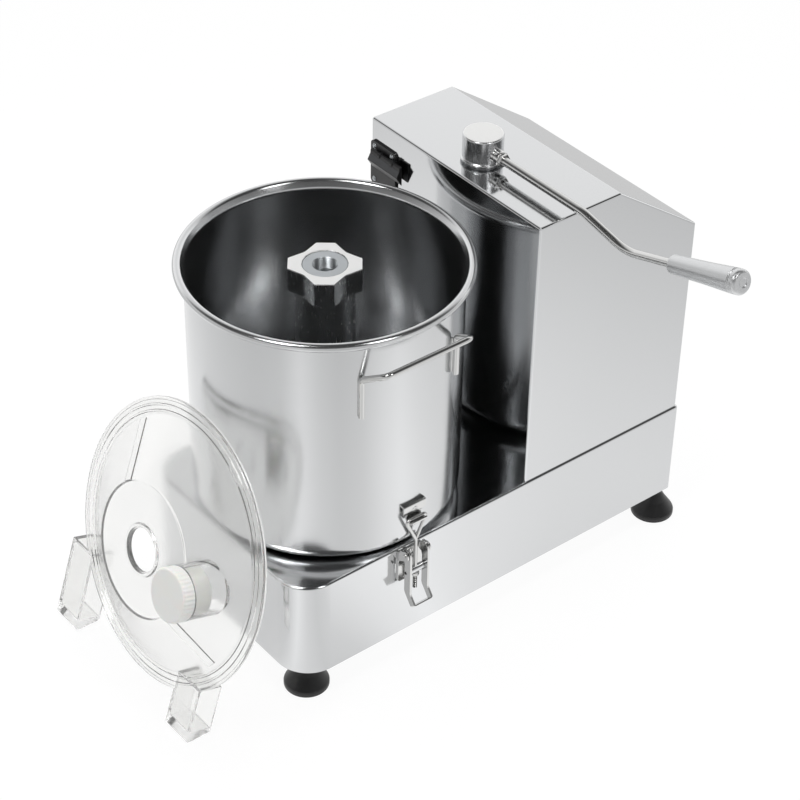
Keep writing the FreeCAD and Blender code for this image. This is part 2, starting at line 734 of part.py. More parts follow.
def back_cover():
    body = new_body("back_cover")
    low = "base_top + window_raise - cover_lap"
    high = "base_top + window_raise + window_height + cover_lap"
    edge = "(window_width / 2 + cover_lap)"
    plate = outline(
        body, "YZ_Plane",
        ("-" + edge, low, "cover_lap / 2"), (edge, low, "cover_lap / 2"),
        (edge, high, "cover_lap / 2"), ("-" + edge, high, "cover_lap / 2"), off="tower_back")
    pad(body, plate, "sheet")
    slot = outline(
        body, "YZ_Plane",
        ("-slot_width / 2", "base_top + window_raise + slot_pitch", "slot_height / 2.1"),
        ("slot_width / 2", "base_top + window_raise + slot_pitch", "slot_height / 2.1"),
        ("slot_width / 2", "base_top + window_raise + slot_pitch + slot_height",
         "slot_height / 2.1"),
        ("-slot_width / 2", "base_top + window_raise + slot_pitch + slot_height",
         "slot_height / 2.1"), off="tower_back + sheet")
    cutter = pocket(body, slot, "2 * sheet")
    doc.recompute()
    pattern = body.newObject("PartDesign::LinearPattern", "slots")
    pattern.Originals = [cutter]
    pattern.Direction = (slot, ["V_Axis"])
    pattern.Mode = "Spacing"
    bind(pattern, Offset="slot_pitch")
    pattern.Occurrences = int((value("window_height") - 2 * value("slot_pitch"))
                              // value("slot_pitch"))
    body.Tip = pattern
    return subpart("back_cover", body)


def cover_screws():
    screws = []
    for side in ("-", ""):
        for raise_by in ("cover_lap / -2", "window_height + cover_lap / 2"):
            y = side + "(window_width / 2 + cover_lap / 2)"
            z = "base_top + window_raise + " + raise_by
            screws.append(cylinder("screw_head", "screw_radius", "tower_back + sheet", y, z, "X"))
    subpart("cover_screws", group(*screws))


# The bowl, its seat and its handles.


def bowl():
    body = new_body("bowl")
    wall = outline(
        body, "XZ_Plane",
        ("tube_bore", "bowl_bottom"), ("bowl_radius", "bowl_bottom", "bowl_corner"),
        ("bowl_radius", "rim_top - flare"), ("bowl_radius + bead_out", "rim_top - bead"),
        ("bowl_radius + bead_out - sheet", "rim_top - bead + sheet"),
        ("bowl_radius - sheet", "rim_top - flare + sheet / 2"),
        ("bowl_radius - sheet", "bowl_floor", "bowl_corner - sheet"),
        ("tube_radius", "bowl_floor"), ("tube_radius", "bowl_floor + tube_height"),
        ("tube_bore", "bowl_floor + tube_height"))
    turn(body, wall)
    turn(body, circles(body, "XZ_Plane", ("bowl_radius + bead_out", "rim_top - bead", "bead")))
    return subpart("bowl", body)


def bowl_seat():
    body = turned("bowl_seat", ("seat_inner", "base_top"), ("seat_outer", "base_top"),
                  ("seat_outer", "bowl_bottom"), ("seat_inner", "bowl_bottom"))
    return subpart("bowl_seat", body)


def handle():
    def leg(x):
        return "-sqrt(leg_ring * leg_ring - " + x + " * " + x + ")"
    bar_back = "side_shift - handle_bar / 2"
    bar_front = "side_shift + handle_bar / 2"
    knee = "bar_level - handle_knee"
    return rod(
        "handle_rod", "handle_bend",
        ("leg_back", leg("leg_back"), knee + " - handle_leg"),
        ("leg_back", leg("leg_back"), knee),
        (bar_back, "-bar_side", "bar_level"), (bar_front, "-bar_side", "bar_level"),
        ("leg_front", leg("leg_front"), knee),
        ("leg_front", leg("leg_front"), knee + " - handle_leg"))


def catch():
    """A plate that follows the bowl's wall, with a hook that opens upwards."""
    low = "bail_top - catch_low"
    tall = "catch_low + catch_high"
    shell = cut(cylinder("bowl_radius + catch_sheet", tall, 0, 0, low),
                cylinder("bowl_radius", tall, 0, 0, low))
    strip = block("catch_width", "bowl_radius", tall, "side_shift", "-bowl_radius", low)
    plate = common(shell, strip)
    body = new_body("hook")
    root = "-bowl_radius - catch_sheet / 2"
    rest = "bail_top - bail_wire - fit"
    lip = "-(bail_side + bail_wire + hook_gap)"
    shape = outline(
        body, "YZ_Plane",
        (root, rest + " - hook_floor"), (root, rest),
        (lip, rest, "sheet / 2"), (lip, "bail_top - bail_wire / 2"),
        (lip + " - sheet", "bail_top - bail_wire / 2"),
        (lip + " - sheet", rest + " - hook_floor", "sheet"), off="side_shift")
    pad(body, shape, "hook_width", both=True)
    return fuse(plate, body)


# The toggle latches that clamp the bowl. Each piece is made on the right.


def latch_bracket():
    body = new_body("bracket")
    back = "half_base"
    foot_low = "pivot_level - bracket_drop"
    plate = outline(
        body, "YZ_Plane",
        ("-" + back, foot_low), ("-" + back, "base_top - base_edge"),
        ("-" + back + " - bracket_sheet", "base_top - base_edge"),
        ("-" + back + " - bracket_sheet", foot_low + " + bracket_foot"),
        ("-" + back + " - bracket_sheet - bracket_foot", foot_low), off="side_shift")
    pad(body, plate, "bracket_width", both=True)
    ears = outline(
        body, "YZ_Plane",
        ("-" + back + " - bracket_sheet / 2", foot_low + " + 2 * bracket_foot"),
        ("-" + back + " - bracket_sheet / 2", "base_top - base_edge"),
        ("-latch_ring - gap", "base_top + gap"),
        ("-latch_ring - gap", "pivot_level + lever_arm + gap"),
        ("-pivot_side - lever_arm", "pivot_level + lever_arm", "lever_arm - gap"),
        ("-pivot_side - lever_arm", "trunnion_level"), off="side_shift")
    pad(body, ears, "2 * ear_inner + 2 * bracket_sheet", both=True)
    space = outline(
        body, "YZ_Plane",
        ("-" + back + " - bracket_sheet", foot_low + " - sheet"),
        ("-" + back + " - bracket_sheet", "base_top - base_edge - sheet"),
        ("-latch_ring + sheet", "base_top + gap - sheet"),
        ("-latch_ring + sheet", "pivot_level + 2 * lever_arm"),
        ("-pivot_side - 2 * lever_arm", "pivot_level + 2 * lever_arm"),
        ("-pivot_side - 2 * lever_arm", foot_low + " - sheet"), off="side_shift")
    pocket(body, space, "2 * ear_inner", both=True)
    bores = circles(body, "YZ_Plane", ("-pivot_side", "pivot_level", "latch_pin"),
                    off="side_shift")
    pocket(body, bores, "2 * bracket_width", both=True)
    return body


def latch_pins():
    """Two short pins, clear of the rod that runs between the arms."""
    length = "(ear_inner + bracket_sheet - arm_inner)"
    left = cylinder("latch_pin", length, "side_shift + arm_inner", "-pivot_side", "pivot_level", "X")
    right = cylinder("latch_pin", length, "side_shift - arm_inner - " + length, "-pivot_side",
                     "pivot_level", "X")
    return group(left, right)


def latch_lever():
    body = new_body("lever")
    tip = "pivot_level - lever_reach"
    arms = outline(
        body, "YZ_Plane",
        ("-pivot_side + lever_arm", "pivot_level + lever_arm", "lever_arm - gap"),
        ("-pivot_side - lever_arm", "pivot_level + lever_arm", "lever_arm - gap"),
        ("-pivot_side - lever_arm", "trunnion_level - latch_throw / 2"),
        ("-pivot_side - lever_kick - lever_arm / 2", tip, "sheet"),
        ("-pivot_side - lever_kick + lever_arm / 2", tip, "sheet"),
        ("-pivot_side + lever_arm", "trunnion_level - latch_throw / 2", "lever_arm"),
        off="side_shift")
    pad(body, arms, "lever_width", both=True)
    space = outline(
        body, "YZ_Plane",
        ("0", "pivot_level + 2 * lever_arm"), ("-2 * pivot_side", "pivot_level + 2 * lever_arm"),
        ("-2 * pivot_side", tip + " + lever_arm"), ("0", tip + " + lever_arm"),
        off="side_shift")
    pocket(body, space, "2 * arm_inner", both=True)
    bores = circles(body, "YZ_Plane", ("-pivot_side", "pivot_level", "latch_pin + fit"),
                    ("-bail_side", "trunnion_level", "latch_pin + fit"), off="side_shift")
    pocket(body, bores, "2 * lever_width", both=True)
    return body


def latch_trunnion():
    inner = "(arm_inner - gap)"
    bar = fuse(
        cylinder("trunnion", "2 * " + inner, "side_shift - " + inner, "-bail_side",
                 "trunnion_level", "X"),
        cylinder("latch_pin", "lever_width", "side_shift - lever_width / 2", "-bail_side",
                 "trunnion_level", "X"))
    return cut(bar, cylinder("bail_rod", "4 * trunnion", "side_shift", "-bail_side",
                             "trunnion_level - 2 * trunnion"))


def latch_bail():
    apex = ("side_shift", "-bail_side", "bail_top - bail_apex")
    frame = rod("bail_wire", "bail_corner", apex, ("side_shift - bail_half", "-bail_side", "bail_top"),
                ("side_shift + bail_half", "-bail_side", "bail_top"), apex)
    low = "trunnion_level - bail_tail"
    stem = cylinder("bail_rod", "bail_top - bail_apex + bail_rod - (" + low + ")", "side_shift",
                    "-bail_side", low)
    nut = hexagon("nut_radius", "nut_height", "side_shift", "-bail_side",
                  "trunnion_level - trunnion - nut_height")
    return fuse(frame, stem, nut)


# The clear lid. It is made flat, with its outer side up, and then leaned against the base.


def lean(item):
    """Bind a piece of the lid to the leaning position."""
    item.Placement.Rotation = FreeCAD.Rotation(V(0, -1, 0), 1)
    item.setExpression("Placement.Rotation.Angle", cells("90 - lid_lean"))
    return item


LID = {"x": "-lid_out", "y": "-lid_side", "z": "lid_level"}
FEED = ("feed_place * sin(feed_turn)", "-feed_place * cos(feed_turn)")


def lid():
    body = new_body("lid")
    slope = "lid_radius - lid_brim"
    dish = outline(
        body, "XZ_Plane",
        ("lid_hole", "crown_height"), ("crown_radius", "crown_height", "lid_sheet"),
        (slope, "0", "lid_sheet"), ("lid_radius", "0", "sheet"),
        ("lid_radius", "-lid_skirt"), ("lid_radius - lid_sheet", "-lid_skirt"),
        ("lid_radius - lid_sheet", "-lid_sheet"), (slope + " - lid_sheet / 2", "-lid_sheet"),
        ("crown_radius - lid_sheet / 2", "crown_height - lid_sheet"),
        ("lid_hole", "crown_height - lid_sheet"))
    turn(body, dish)
    tube = circles(body, "XY_Plane", FEED + ("feed_radius",), off="feed_top")
    neck = body.newObject("PartDesign::Pad", "neck")
    neck.Profile = tube
    neck.Reversed = True
    bind(neck, Length="feed_top - feed_root")
    body.Tip = neck
    add_lug(body, "lug_near + lug_width / 2", "lug_near_root")
    add_lug(body, "-lug_far - lug_width / 2", "lug_far_root")
    bore = circles(body, "XY_Plane", FEED + ("feed_radius - feed_wall",), off="feed_top + sheet")
    pocket(body, bore, "feed_top + 2 * lid_skirt")
    return subpart("lid", lean(body), **LID)


def add_lug(body, middle, root):
    """A box-like lug, open at the back, whose end stands flat on the table."""
    reach = "(lid_level / cos(lid_lean) - gap)"
    heel = "(" + reach + " - lug_depth * tan(lid_lean))"
    side = outline(body, "XZ_Plane", ("-" + root, "0"), ("-" + reach, "0", "lid_sheet"),
                   ("-" + heel, "-lug_depth"), ("-" + root, "-lug_depth", "lid_sheet"), off=middle)
    pad(body, side, "lug_width", both=True)
    hollow = outline(body, "XZ_Plane",
                     ("-" + root + " - lug_wall", "-lug_wall"), ("-" + heel + " + lug_wall", "-lug_wall"),
                     ("-" + heel + " + lug_wall", "-lug_depth - sheet"),
                     ("-" + root + " - lug_wall", "-lug_depth - sheet"), off=middle)
    pocket(body, hollow, "lug_width - 2 * lug_wall", both=True)


def feed_plug():
    bore = "feed_radius - feed_wall - gap"
    body = turned("plug", ("0", "feed_top + gap + plug_head"),
                  ("feed_radius", "feed_top + gap + plug_head", "lid_sheet"),
                  ("feed_radius", "feed_top + gap"), (bore, "feed_top + gap"),
                  (bore, "feed_top - plug_depth"), (bore + " - lid_sheet", "feed_top - plug_depth"),
                  (bore + " - lid_sheet", "feed_top + lid_sheet"), ("0", "feed_top + lid_sheet"))
    place(body, *FEED)
    item = group(body)
    return subpart("feed_plug", lean(item), **LID)


# The lever that holds the lid down. Its post turns in a bush in the tower's top.


def lever_bush():
    wall = "post_radius + bush_wall"
    body = turned("lever_bush", ("post_radius + fit", "tower_top - bush_depth"),
                  (wall, "tower_top - bush_depth"), (wall, "tower_top"),
                  ("cap_radius - sheet", "tower_top"), ("cap_radius - sheet", "tower_top + bush_rim"),
                  ("post_radius + fit", "tower_top + bush_rim"))
    return subpart("lever_bush", body, "post_place")


def lever_post():
    post = cylinder("post_radius", "post_top + cap_height / 2 - (tower_top - post_depth)", 0, 0,
                    "tower_top - post_depth")
    return subpart("lever_post", group(post), "post_place")


def lever_cap():
    body = turned("cap", ("0", "post_top + cap_height / 2"),
                  ("post_radius", "post_top + cap_height / 2"), ("post_radius", "post_top"),
                  ("cap_radius + sheet", "post_top"), ("cap_radius + sheet", "post_top + sheet"),
                  ("cap_radius", "post_top + 2 * sheet"),
                  ("cap_radius", "post_top + cap_height", "2 * sheet"), ("0", "post_top + cap_height"))
    socket = cylinder("arm_rod", "boss_length + cap_radius / 2", 0,
                      "-cap_radius - boss_length", "rod_level", "Y")
    return subpart("lever_cap", group(cut(body, socket)), "post_place")


def lever_boss():
    boss = cylinder("boss_radius", "boss_length + cap_radius / 2", 0,
                    "-cap_radius - boss_length", "rod_level", "Y")
    core = cylinder("cap_radius", "4 * boss_radius", 0, 0, "rod_level - 2 * boss_radius")
    bore = cylinder("arm_rod", "3 * cap_radius", 0, "-3 * cap_radius", "rod_level", "Y")
    return subpart("lever_boss", group(cut(boss, core, bore)), "post_place")


def lever_rod():
    rise = "grip_bore * sin(grip_tilt)"
    run = "grip_bore * cos(grip_tilt)"
    arm = rod("arm_rod", "arm_bend", ("0", "-cap_radius / 2", "rod_level"),
              ("0", "-arm_level", "rod_level"), ("0", "-arm_dip", "dip_level"),
              ("0", "-arm_end - " + run, "grip_level + " + rise))
    return subpart("lever_rod", group(arm), "post_place")


def lever_grip():
    body = turned("grip", ("arm_rod", "0"), ("grip_thin", "0", "sheet"),
                  ("grip_thick - sheet", "grip_length * 0.55", "grip_length"),
                  ("grip_thick", "grip_length - grip_thin"),
                  ("grip_thick - sheet / 2", "grip_length - grip_thin + sheet / 2"),
                  ("grip_thick", "grip_length - grip_thin + sheet"),
                  ("grip_thick", "grip_length", "grip_thin * 0.8"), ("0", "grip_length"),
                  ("0", "grip_bore"), ("arm_rod", "grip_bore"))
    body.Placement.Rotation = FreeCAD.Rotation(V(1, 0, 0), 1)
    body.setExpression("Placement.Rotation.Angle", cells("90 - grip_tilt"))
    place(body, 0, "-arm_end", "grip_level")
    return subpart("lever_grip", group(body), "post_place")


def interlock_cam():
    disc = cut(cylinder("cam_radius", "cam_height", "cam_throw", 0, "tower_top - post_depth"),
               cylinder("post_radius", "4 * cam_height", 0, 0, "tower_top - post_depth - cam_height"))
    return subpart("interlock_cam", group(disc), "post_place")


def interlock_switch():
    """A small switch on a bracket, whose button stops just short of the turning cam."""
    face = "cam_radius + cam_throw + gap"
    middle = "tower_top - post_depth + cam_height / 2"
    button = cylinder("sheet", "2 * sheet", 0, face, middle, "Y")
    case = block("micro_length", "micro_width", "micro_height", 0,
                 face + " + 2 * sheet + micro_width / 2", middle + " - micro_height / 2")
    hanger = block("micro_length", "sheet", "tower_height", 0,
                   face + " + 2 * sheet + micro_width + sheet / 2", middle + " - micro_height / 2")
    ceiling = block("4 * micro_length", "4 * micro_length", "tower_height", 0, 0, "tower_top - sheet")
    return subpart("interlock_switch", group(fuse(button, case, cut(hanger, ceiling))), "post_place")


# The lid switch on the tower's front: a plate, two buttons and a hinged hood over them.

SWITCH_SCREWS = [("switch_side %s screw_side / 2" % across, "switch_level %s screw_tall / 2" % up)
                 for across in "-+" for up in "-+"]
BUTTONS = [("start_button", "switch_side - button_side"), ("stop_button", "switch_side + button_side")]


def switch_plate():
    body = new_body("plate")
    edges = [("switch_side %s plate_width / 2" % across, "switch_level %s plate_height / 2" % up,
              "2 * plate_sheet") for across, up in ("--", "+-", "++", "-+")]
    pad(body, outline(body, "YZ_Plane", *edges, off="plate_face"), "plate_sheet")
    holes = [(y, "switch_level + button_rise", "button_radius + gap") for name, y in BUTTONS]
    pocket(body, circles(body, "YZ_Plane", *holes, off="plate_face"), "2 * plate_sheet", ahead=True)
    for side in "-+":
        middle = "hood_side %s knuckle_side" % side
        knuckle = outline(
            body, "XZ_Plane", ("plate_face + sheet", "hinge_level - knuckle"),
            ("plate_face + sheet", "hinge_level + knuckle"),
            ("hinge_place - knuckle", "hinge_level + knuckle", "knuckle * 0.95"),
            ("hinge_place - knuckle", "hinge_level - knuckle", "knuckle * 0.95"),
            off="-(" + middle + ")")
        pad(body, knuckle, "knuckle_width", both=True)
    pin_hole = circles(body, "XZ_Plane", ("hinge_place", "hinge_level", "hinge_pin"),
                       off="-hood_side")
    pocket(body, pin_hole, "hood_width", both=True)
    return subpart("switch_plate", body)


def switch_screws():
    screws = [cut(sphere("screw_head", "plate_face + screw_head / 2", y, z),
                  block("4 * screw_head", "4 * screw_head", "4 * screw_head",
                        "plate_face + 2 * screw_head", y, z + " - 2 * screw_head"))
              for y, z in SWITCH_SCREWS]
    return subpart("switch_screws", group(*screws))


def hood_pin():
    pin = cylinder("hinge_pin", "hood_width - sheet", "hinge_place",
                   "hood_side - (hood_width - sheet) / 2", "hinge_level", "Y")
    return subpart("hood_pin", group(pin))


def switch_hood():
    body = new_body("hood")
    back = "plate_face - gap"
    low = "hinge_level + knuckle - hood_height"
    outer = outline(
        body, "XZ_Plane", (back, low), (back, "hinge_level - knuckle"),
        ("hinge_place + knuckle", "hinge_level + knuckle", "knuckle * 0.8"),
        ("hinge_place - knuckle", "hinge_level + knuckle", "knuckle * 0.8"),
        ("plate_face - hood_depth", low + " + hood_height * 0.4", "2 * sheet"),
        ("plate_face - hood_depth + 2 * sheet", low, "sheet"), off="-hood_side")
    pad(body, outer, "hood_width", both=True)
    inner = outline(
        body, "XZ_Plane", (back + " + sheet", low + " + hood_wall"),
        (back + " + sheet", "hinge_level - knuckle - sheet"),
        ("hinge_place - 2 * sheet", "hinge_level - knuckle - sheet"),
        ("plate_face - hood_depth + hood_wall", low + " + hood_height * 0.4"),
        ("plate_face - hood_depth + 2.5 * hood_wall", low + " + hood_wall"), off="-hood_side")
    pocket(body, inner, "hood_width - 2 * hood_wall", both=True)
    for side in "-+":
        middle = "hood_side %s knuckle_side" % side
        notch = outline(
            body, "XZ_Plane", ("plate_face", "hinge_level - 2 * knuckle"),
            ("plate_face", "hinge_level + 2 * knuckle"),
            ("hinge_place - 2 * knuckle", "hinge_level + 2 * knuckle"),
            ("hinge_place - 2 * knuckle", "hinge_level - 2 * knuckle"), off="-(" + middle + ")")
        pocket(body, notch, "knuckle_width + 2 * gap", both=True)
    bore = circles(body, "XZ_Plane", ("hinge_place", "hinge_level", "hinge_pin + fit"),
                   off="-hood_side")
    pocket(body, bore, "2 * hood_width", both=True)
    return subpart("switch_hood", body)


def buttons():
    for name, side in BUTTONS:
        cap = cylinder("button_radius", "button_out + plate_sheet + button_stem",
                       "plate_face - button_out", side, "switch_level + button_rise", "X")
        subpart(name, group(cap))


def switch_box():
    box = block("box_depth", "plate_width", "plate_height - 2 * sheet",
                "tower_front + sheet + box_depth / 2", "switch_side",
                "switch_level - plate_height / 2 + sheet")
    wells = [cylinder("button_radius + fit", "button_stem + button_travel + gap",
                      "tower_front + sheet - gap", side, "switch_level + button_rise", "X")
             for name, side in BUTTONS]
    return subpart("switch_box", group(cut(box, *wells)))


# The spindle, its bearings and the knives.


def bearing_carrier():
    wall = "bearing_radius + carrier_wall"
    body = turned(
        "carrier", ("bearing_radius", "bearing_low"), (wall, "bearing_low"),
        (wall, "carrier_top - carrier_plate", "sheet"),
        ("carrier_flange", "carrier_top - carrier_plate"), ("carrier_flange", "carrier_top"),
        ("spigot_radius", "carrier_top"), ("spigot_radius", "bowl_floor + spigot_height"),
        ("spindle_radius + fit + sheet", "bowl_floor + spigot_height"),
        ("spindle_radius + fit + sheet", "bearing_high + bearing_width"),
        ("bearing_radius", "bearing_high + bearing_width"), ("bearing_radius", "bearing_high"),
        ("bearing_radius - sheet", "bearing_high"),
        ("bearing_radius - sheet", "bearing_high - bearing_apart"),
        ("bearing_radius", "bearing_high - bearing_apart"))
    return subpart("bearing_carrier", body)


def bearings():
    for label, low in (("bearing_lower", "bearing_low"), ("bearing_upper", "bearing_high")):
        body = turned(label, ("spindle_radius + fit", low), ("bearing_radius", low),
                      ("bearing_radius", low + " + bearing_width"),
                      ("spindle_radius + fit", low + " + bearing_width"))
        subpart(label, body)


def shaft_seal():
    top = "bowl_floor + spigot_height"
    body = turned("seal", ("spindle_radius + fit", top), ("spigot_radius - sheet", top),
                  ("spigot_radius - sheet", top + " + seal_height / 2"),
                  ("spindle_radius + 2 * sheet", top + " + seal_height"),
                  ("spindle_radius + fit", top + " + seal_height"))
    return subpart("shaft_seal", body)


def spindle():
    shaft = cylinder("spindle_radius", "sleeve_top - spindle_end - spindle_low", 0, 0, "spindle_low")
    return subpart("spindle", group(shaft))


def pulley(label, rim, bore, x="0"):
    """A flat pulley with two rims that keep the belt on."""
    edge = "(" + rim + " + belt_depth + pulley_rim)"
    high = "belt_low + belt_width"
    body = turned(
        label, (bore, "belt_low - pulley_rim - gap"), (edge, "belt_low - pulley_rim - gap"),
        (edge, "belt_low - gap"), (rim, "belt_low - gap"), (rim, high + " + gap"),
        (edge, high + " + gap"), (edge, high + " + pulley_rim + gap"),
        (bore, high + " + pulley_rim + gap"))
    return subpart(label, body, x)


def drive_belt():
    """A belt round both pulleys, with its straight runs tangent to them."""
    def loop(extra):
        large = "(pulley_large + gap%s)" % extra
        small = "(pulley_small + gap%s)" % extra
        lean_in = "((pulley_large - pulley_small) / motor_place)"
        rise = "sqrt(1 - %s * %s)" % (lean_in, lean_in)
        body = new_body("runs")
        span = outline(
            body, "XY_Plane",
            ("%s * %s" % (large, lean_in), "-%s * %s" % (large, rise)),
            ("motor_place + %s * %s" % (small, lean_in), "-%s * %s" % (small, rise)),
            ("motor_place + %s * %s" % (small, lean_in), "%s * %s" % (small, rise)),
            ("%s * %s" % (large, lean_in), "%s * %s" % (large, rise)), off="belt_low")
        pad(body, span, "belt_width")
        return fuse(body, cylinder(large, "belt_width", 0, 0, "belt_low"),
                    cylinder(small, "belt_width", "motor_place", 0, "belt_low"))
    return subpart("drive_belt", group(cut(loop(" + belt_depth"), loop(""))))


def motor():
    body = turned(
        "motor", ("shaft_radius + fit", "motor_low"), ("motor_radius", "motor_low"),
        ("motor_radius", "motor_low + motor_height", "flange_sheet"), ("0", "motor_low + motor_height"),
        ("0", "motor_low + shaft_depth + gap"),
        ("shaft_radius + fit", "motor_low + shaft_depth + gap"))
    subpart("motor", body, "motor_place")
    flange = turned("motor_flange", ("shaft_radius + carrier_wall", "base_top"),
                    ("motor_flange", "base_top"), ("motor_flange", "motor_low"),
                    ("shaft_radius + carrier_wall", "motor_low"))
    subpart("motor_flange", flange, "motor_place")
    radius = "(motor_radius + motor_flange) / 2"
    heads = [cylinder("motor_bolt", "motor_bolt", "%s * cos(%d)" % (radius, turn_by),
                      "%s * sin(%d)" % (radius, turn_by), "motor_low") for turn_by in (45, 135, 225, 315)]
    subpart("motor_bolts", group(*heads), "motor_place")
    shaft = cylinder("shaft_radius", "motor_low + shaft_depth - spindle_low", 0, 0, "spindle_low")
    subpart("motor_shaft", group(shaft), "motor_place")


def blade_sleeve():
    body = turned(
        "sleeve", ("sleeve_bore", "sleeve_low"), ("blade_root", "sleeve_low"),
        ("blade_root", "blade_low"), ("sleeve_radius", "blade_low"), ("sleeve_radius", "sleeve_top"),
        ("spindle_radius", "sleeve_top"), ("spindle_radius", "bowl_floor + tube_height + sleeve_gap"),
        ("sleeve_bore", "bowl_floor + tube_height + sleeve_gap"))
    return subpart("blade_sleeve", body)


def knife(label, low, turned_by):
    """A collar with two swept blades, thinned to an edge along their front."""
    body = new_body("knife")
    pad(body, circles(body, "XY_Plane", ("0", "0", "blade_root"), off=low), "blade_sheet")
    for side in ("", "-"):
        wing = outline(
            body, "XY_Plane", (side + "sleeve_radius", side + "(-blade_width / 2)"),
            (side + "(blade_reach * 0.62)", side + "(-blade_width / 2)", "blade_reach"),
            (side + "blade_reach", side + "(blade_sweep - blade_tip)", "sheet"),
            (side + "(blade_reach - sheet)", side + "blade_sweep", "sheet"),
            (side + "(blade_reach * 0.55)", side + "(blade_width / 2)", "blade_reach / 2"),
            (side + "sleeve_radius", side + "(blade_width / 2)"), off=low)
        pad(body, wing, "blade_sheet")
    pocket(body, circles(body, "XY_Plane", ("0", "0", "sleeve_radius"), off=low + " + blade_sheet"),
           "2 * blade_sheet")
    item = group(body)
    item.Placement.Rotation = FreeCAD.Rotation(V(0, 0, 1), turned_by)
    return subpart(label, item)


def knife_rings():
    """The spacer between the knives and the ring that locks them."""
    rings = []
    for low, height in (("blade_low + blade_sheet", "spacer_height"), ("collar_top", "ring_height")):
        high = "%s + %s" % (low, height)
        rings.append(turned("ring", ("sleeve_radius", low), ("blade_root", low), ("blade_root", high),
                            ("sleeve_radius", high)))
    subpart("knife_rings", group(*rings))


def hub_nut():
    """A four-lobed nut with hollow flutes between its flat-ended lobes."""
    body = new_body("nut")
    flute = "hub_waist * cos(45)"
    half = "hub_lobe / 2"
    corners = []
    for quarter in range(4):
        for across, along, radius in (("hub_radius", "-" + half, "sheet"), ("hub_radius", half, "sheet"),
                                      (flute, flute, "hub_lobe / 2")):
            for step in range(quarter):
                across, along = "-(" + along + ")", across
            corners.append((across, along, radius))
    pad(body, outline(body, "XY_Plane", *corners, off="sleeve_top"), "hub_height")
    soften(body, "sheet", lambda box: level(box, value("hub_level")))
    pocket(body, circles(body, "XY_Plane", ("0", "0", "ring_radius"), off="hub_level"), "hub_sink")
    item = group(body)
    item.Placement.Rotation = FreeCAD.Rotation(V(0, 0, 1), 1)
    item.setExpression("Placement.Rotation.Angle", cells("hub_turn"))
    subpart("hub_nut", item)
    ring = turned("hub_ring", ("hub_thread", "hub_level - hub_sink"),
                  ("ring_radius", "hub_level - hub_sink"), ("ring_radius", "hub_level - sheet / 2"),
                  ("hub_thread + sheet", "hub_level - sheet / 2"),
                  ("hub_thread", "hub_level - 1.5 * sheet"))
    subpart("hub_ring", ring)


def cable_gland():
    nut = fuse(cylinder("gland_radius", "gland_radius", "base_back", 0, 0, "X"),
               cylinder("gland_radius - sheet", "2 * gland_radius", "base_back - 2 * sheet", 0, 0, "X"))
    bored = cut(nut, cylinder("gland_bore", "6 * gland_radius", "base_back - 2 * gland_radius", 0, 0, "X"))
    return subpart("cable_gland", group(bored), "0", "-gland_side", "gland_level")


def build_all():
    base_housing()
    base_plate()
    feet()
    tower_housing()
    back_cover()
    cover_screws()
    bowl()
    bowl_seat()
    for name, make in (("bowl_handle", handle), ("bowl_catch", catch),
                       ("latch_bracket", latch_bracket), ("latch_pins", latch_pins),
                       ("latch_lever", latch_lever), ("latch_trunnion", latch_trunnion),
                       ("latch_bail", latch_bail)):
        item = make()
        subpart(name + "_right", group(item))
        subpart(name + "_left", on_the_left(item))
    lid()
    feed_plug()
    lever_bush()
    lever_post()
    lever_cap()
    lever_boss()
    lever_rod()
    lever_grip()
    interlock_cam()
    interlock_switch()
    switch_plate()
    switch_screws()
    hood_pin()
    switch_hood()
    buttons()
    switch_box()
    bearing_carrier()
    bearings()
    shaft_seal()
    spindle()
    pulley("spindle_pulley", "pulley_large", "spindle_radius")
    pulley("motor_pulley", "pulley_small", "shaft_radius", "motor_place")
    drive_belt()
    motor()
    blade_sleeve()
    knife("knife_lower", "blade_low", 0)
    knife("knife_upper", "blade_high", 90)
    knife_rings()
    hub_nut()
    cable_gland()


def overall_box():
    box = FreeCAD.BoundBox()
    for item in subparts:
        box.add(item.Shape.optimalBoundingBox(False, False))
    return box


def centre_the_part():
    """Move everything until the origin is under the middle of the overall box."""
    box = overall_box()
    places.setExpression("shift_along", cells("0 - %.6f" % box.Center.x))
    places.setExpression("shift_across", cells("0 - %.6f" % box.Center.y))
    doc.recompute()


def check_and_write():
    for item in doc.Objects:
        if "Invalid" in item.State or "Error" in item.State:
            raise ValueError("%s could not be made" % item.Label)
    os.makedirs("parts", exist_ok=True)
    for item in subparts:
        if item.Shape.isNull() or not item.Shape.isValid():
            raise ValueError("%s has no sound shape" % item.Label)
        item.Shape.exportStep("parts/%s.step" % item.Label)
    box = overall_box()
    print("sub-parts", len(subparts))
    print("box %.2f %.2f %.2f" % (box.XLength, box.YLength, box.ZLength))
    print("spindle at %.4f %.4f" % (places.shift_along, places.shift_across))


build_all()
doc.recompute()
centre_the_part()
check_and_write()
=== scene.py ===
"""Looks for a bowl cutter: its pieces, their finishes and the studio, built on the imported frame."""

import json
import math

import bmesh
import bpy
from bpy.props import FloatProperty, FloatVectorProperty, IntProperty, PointerProperty
from mathutils import Matrix, Vector


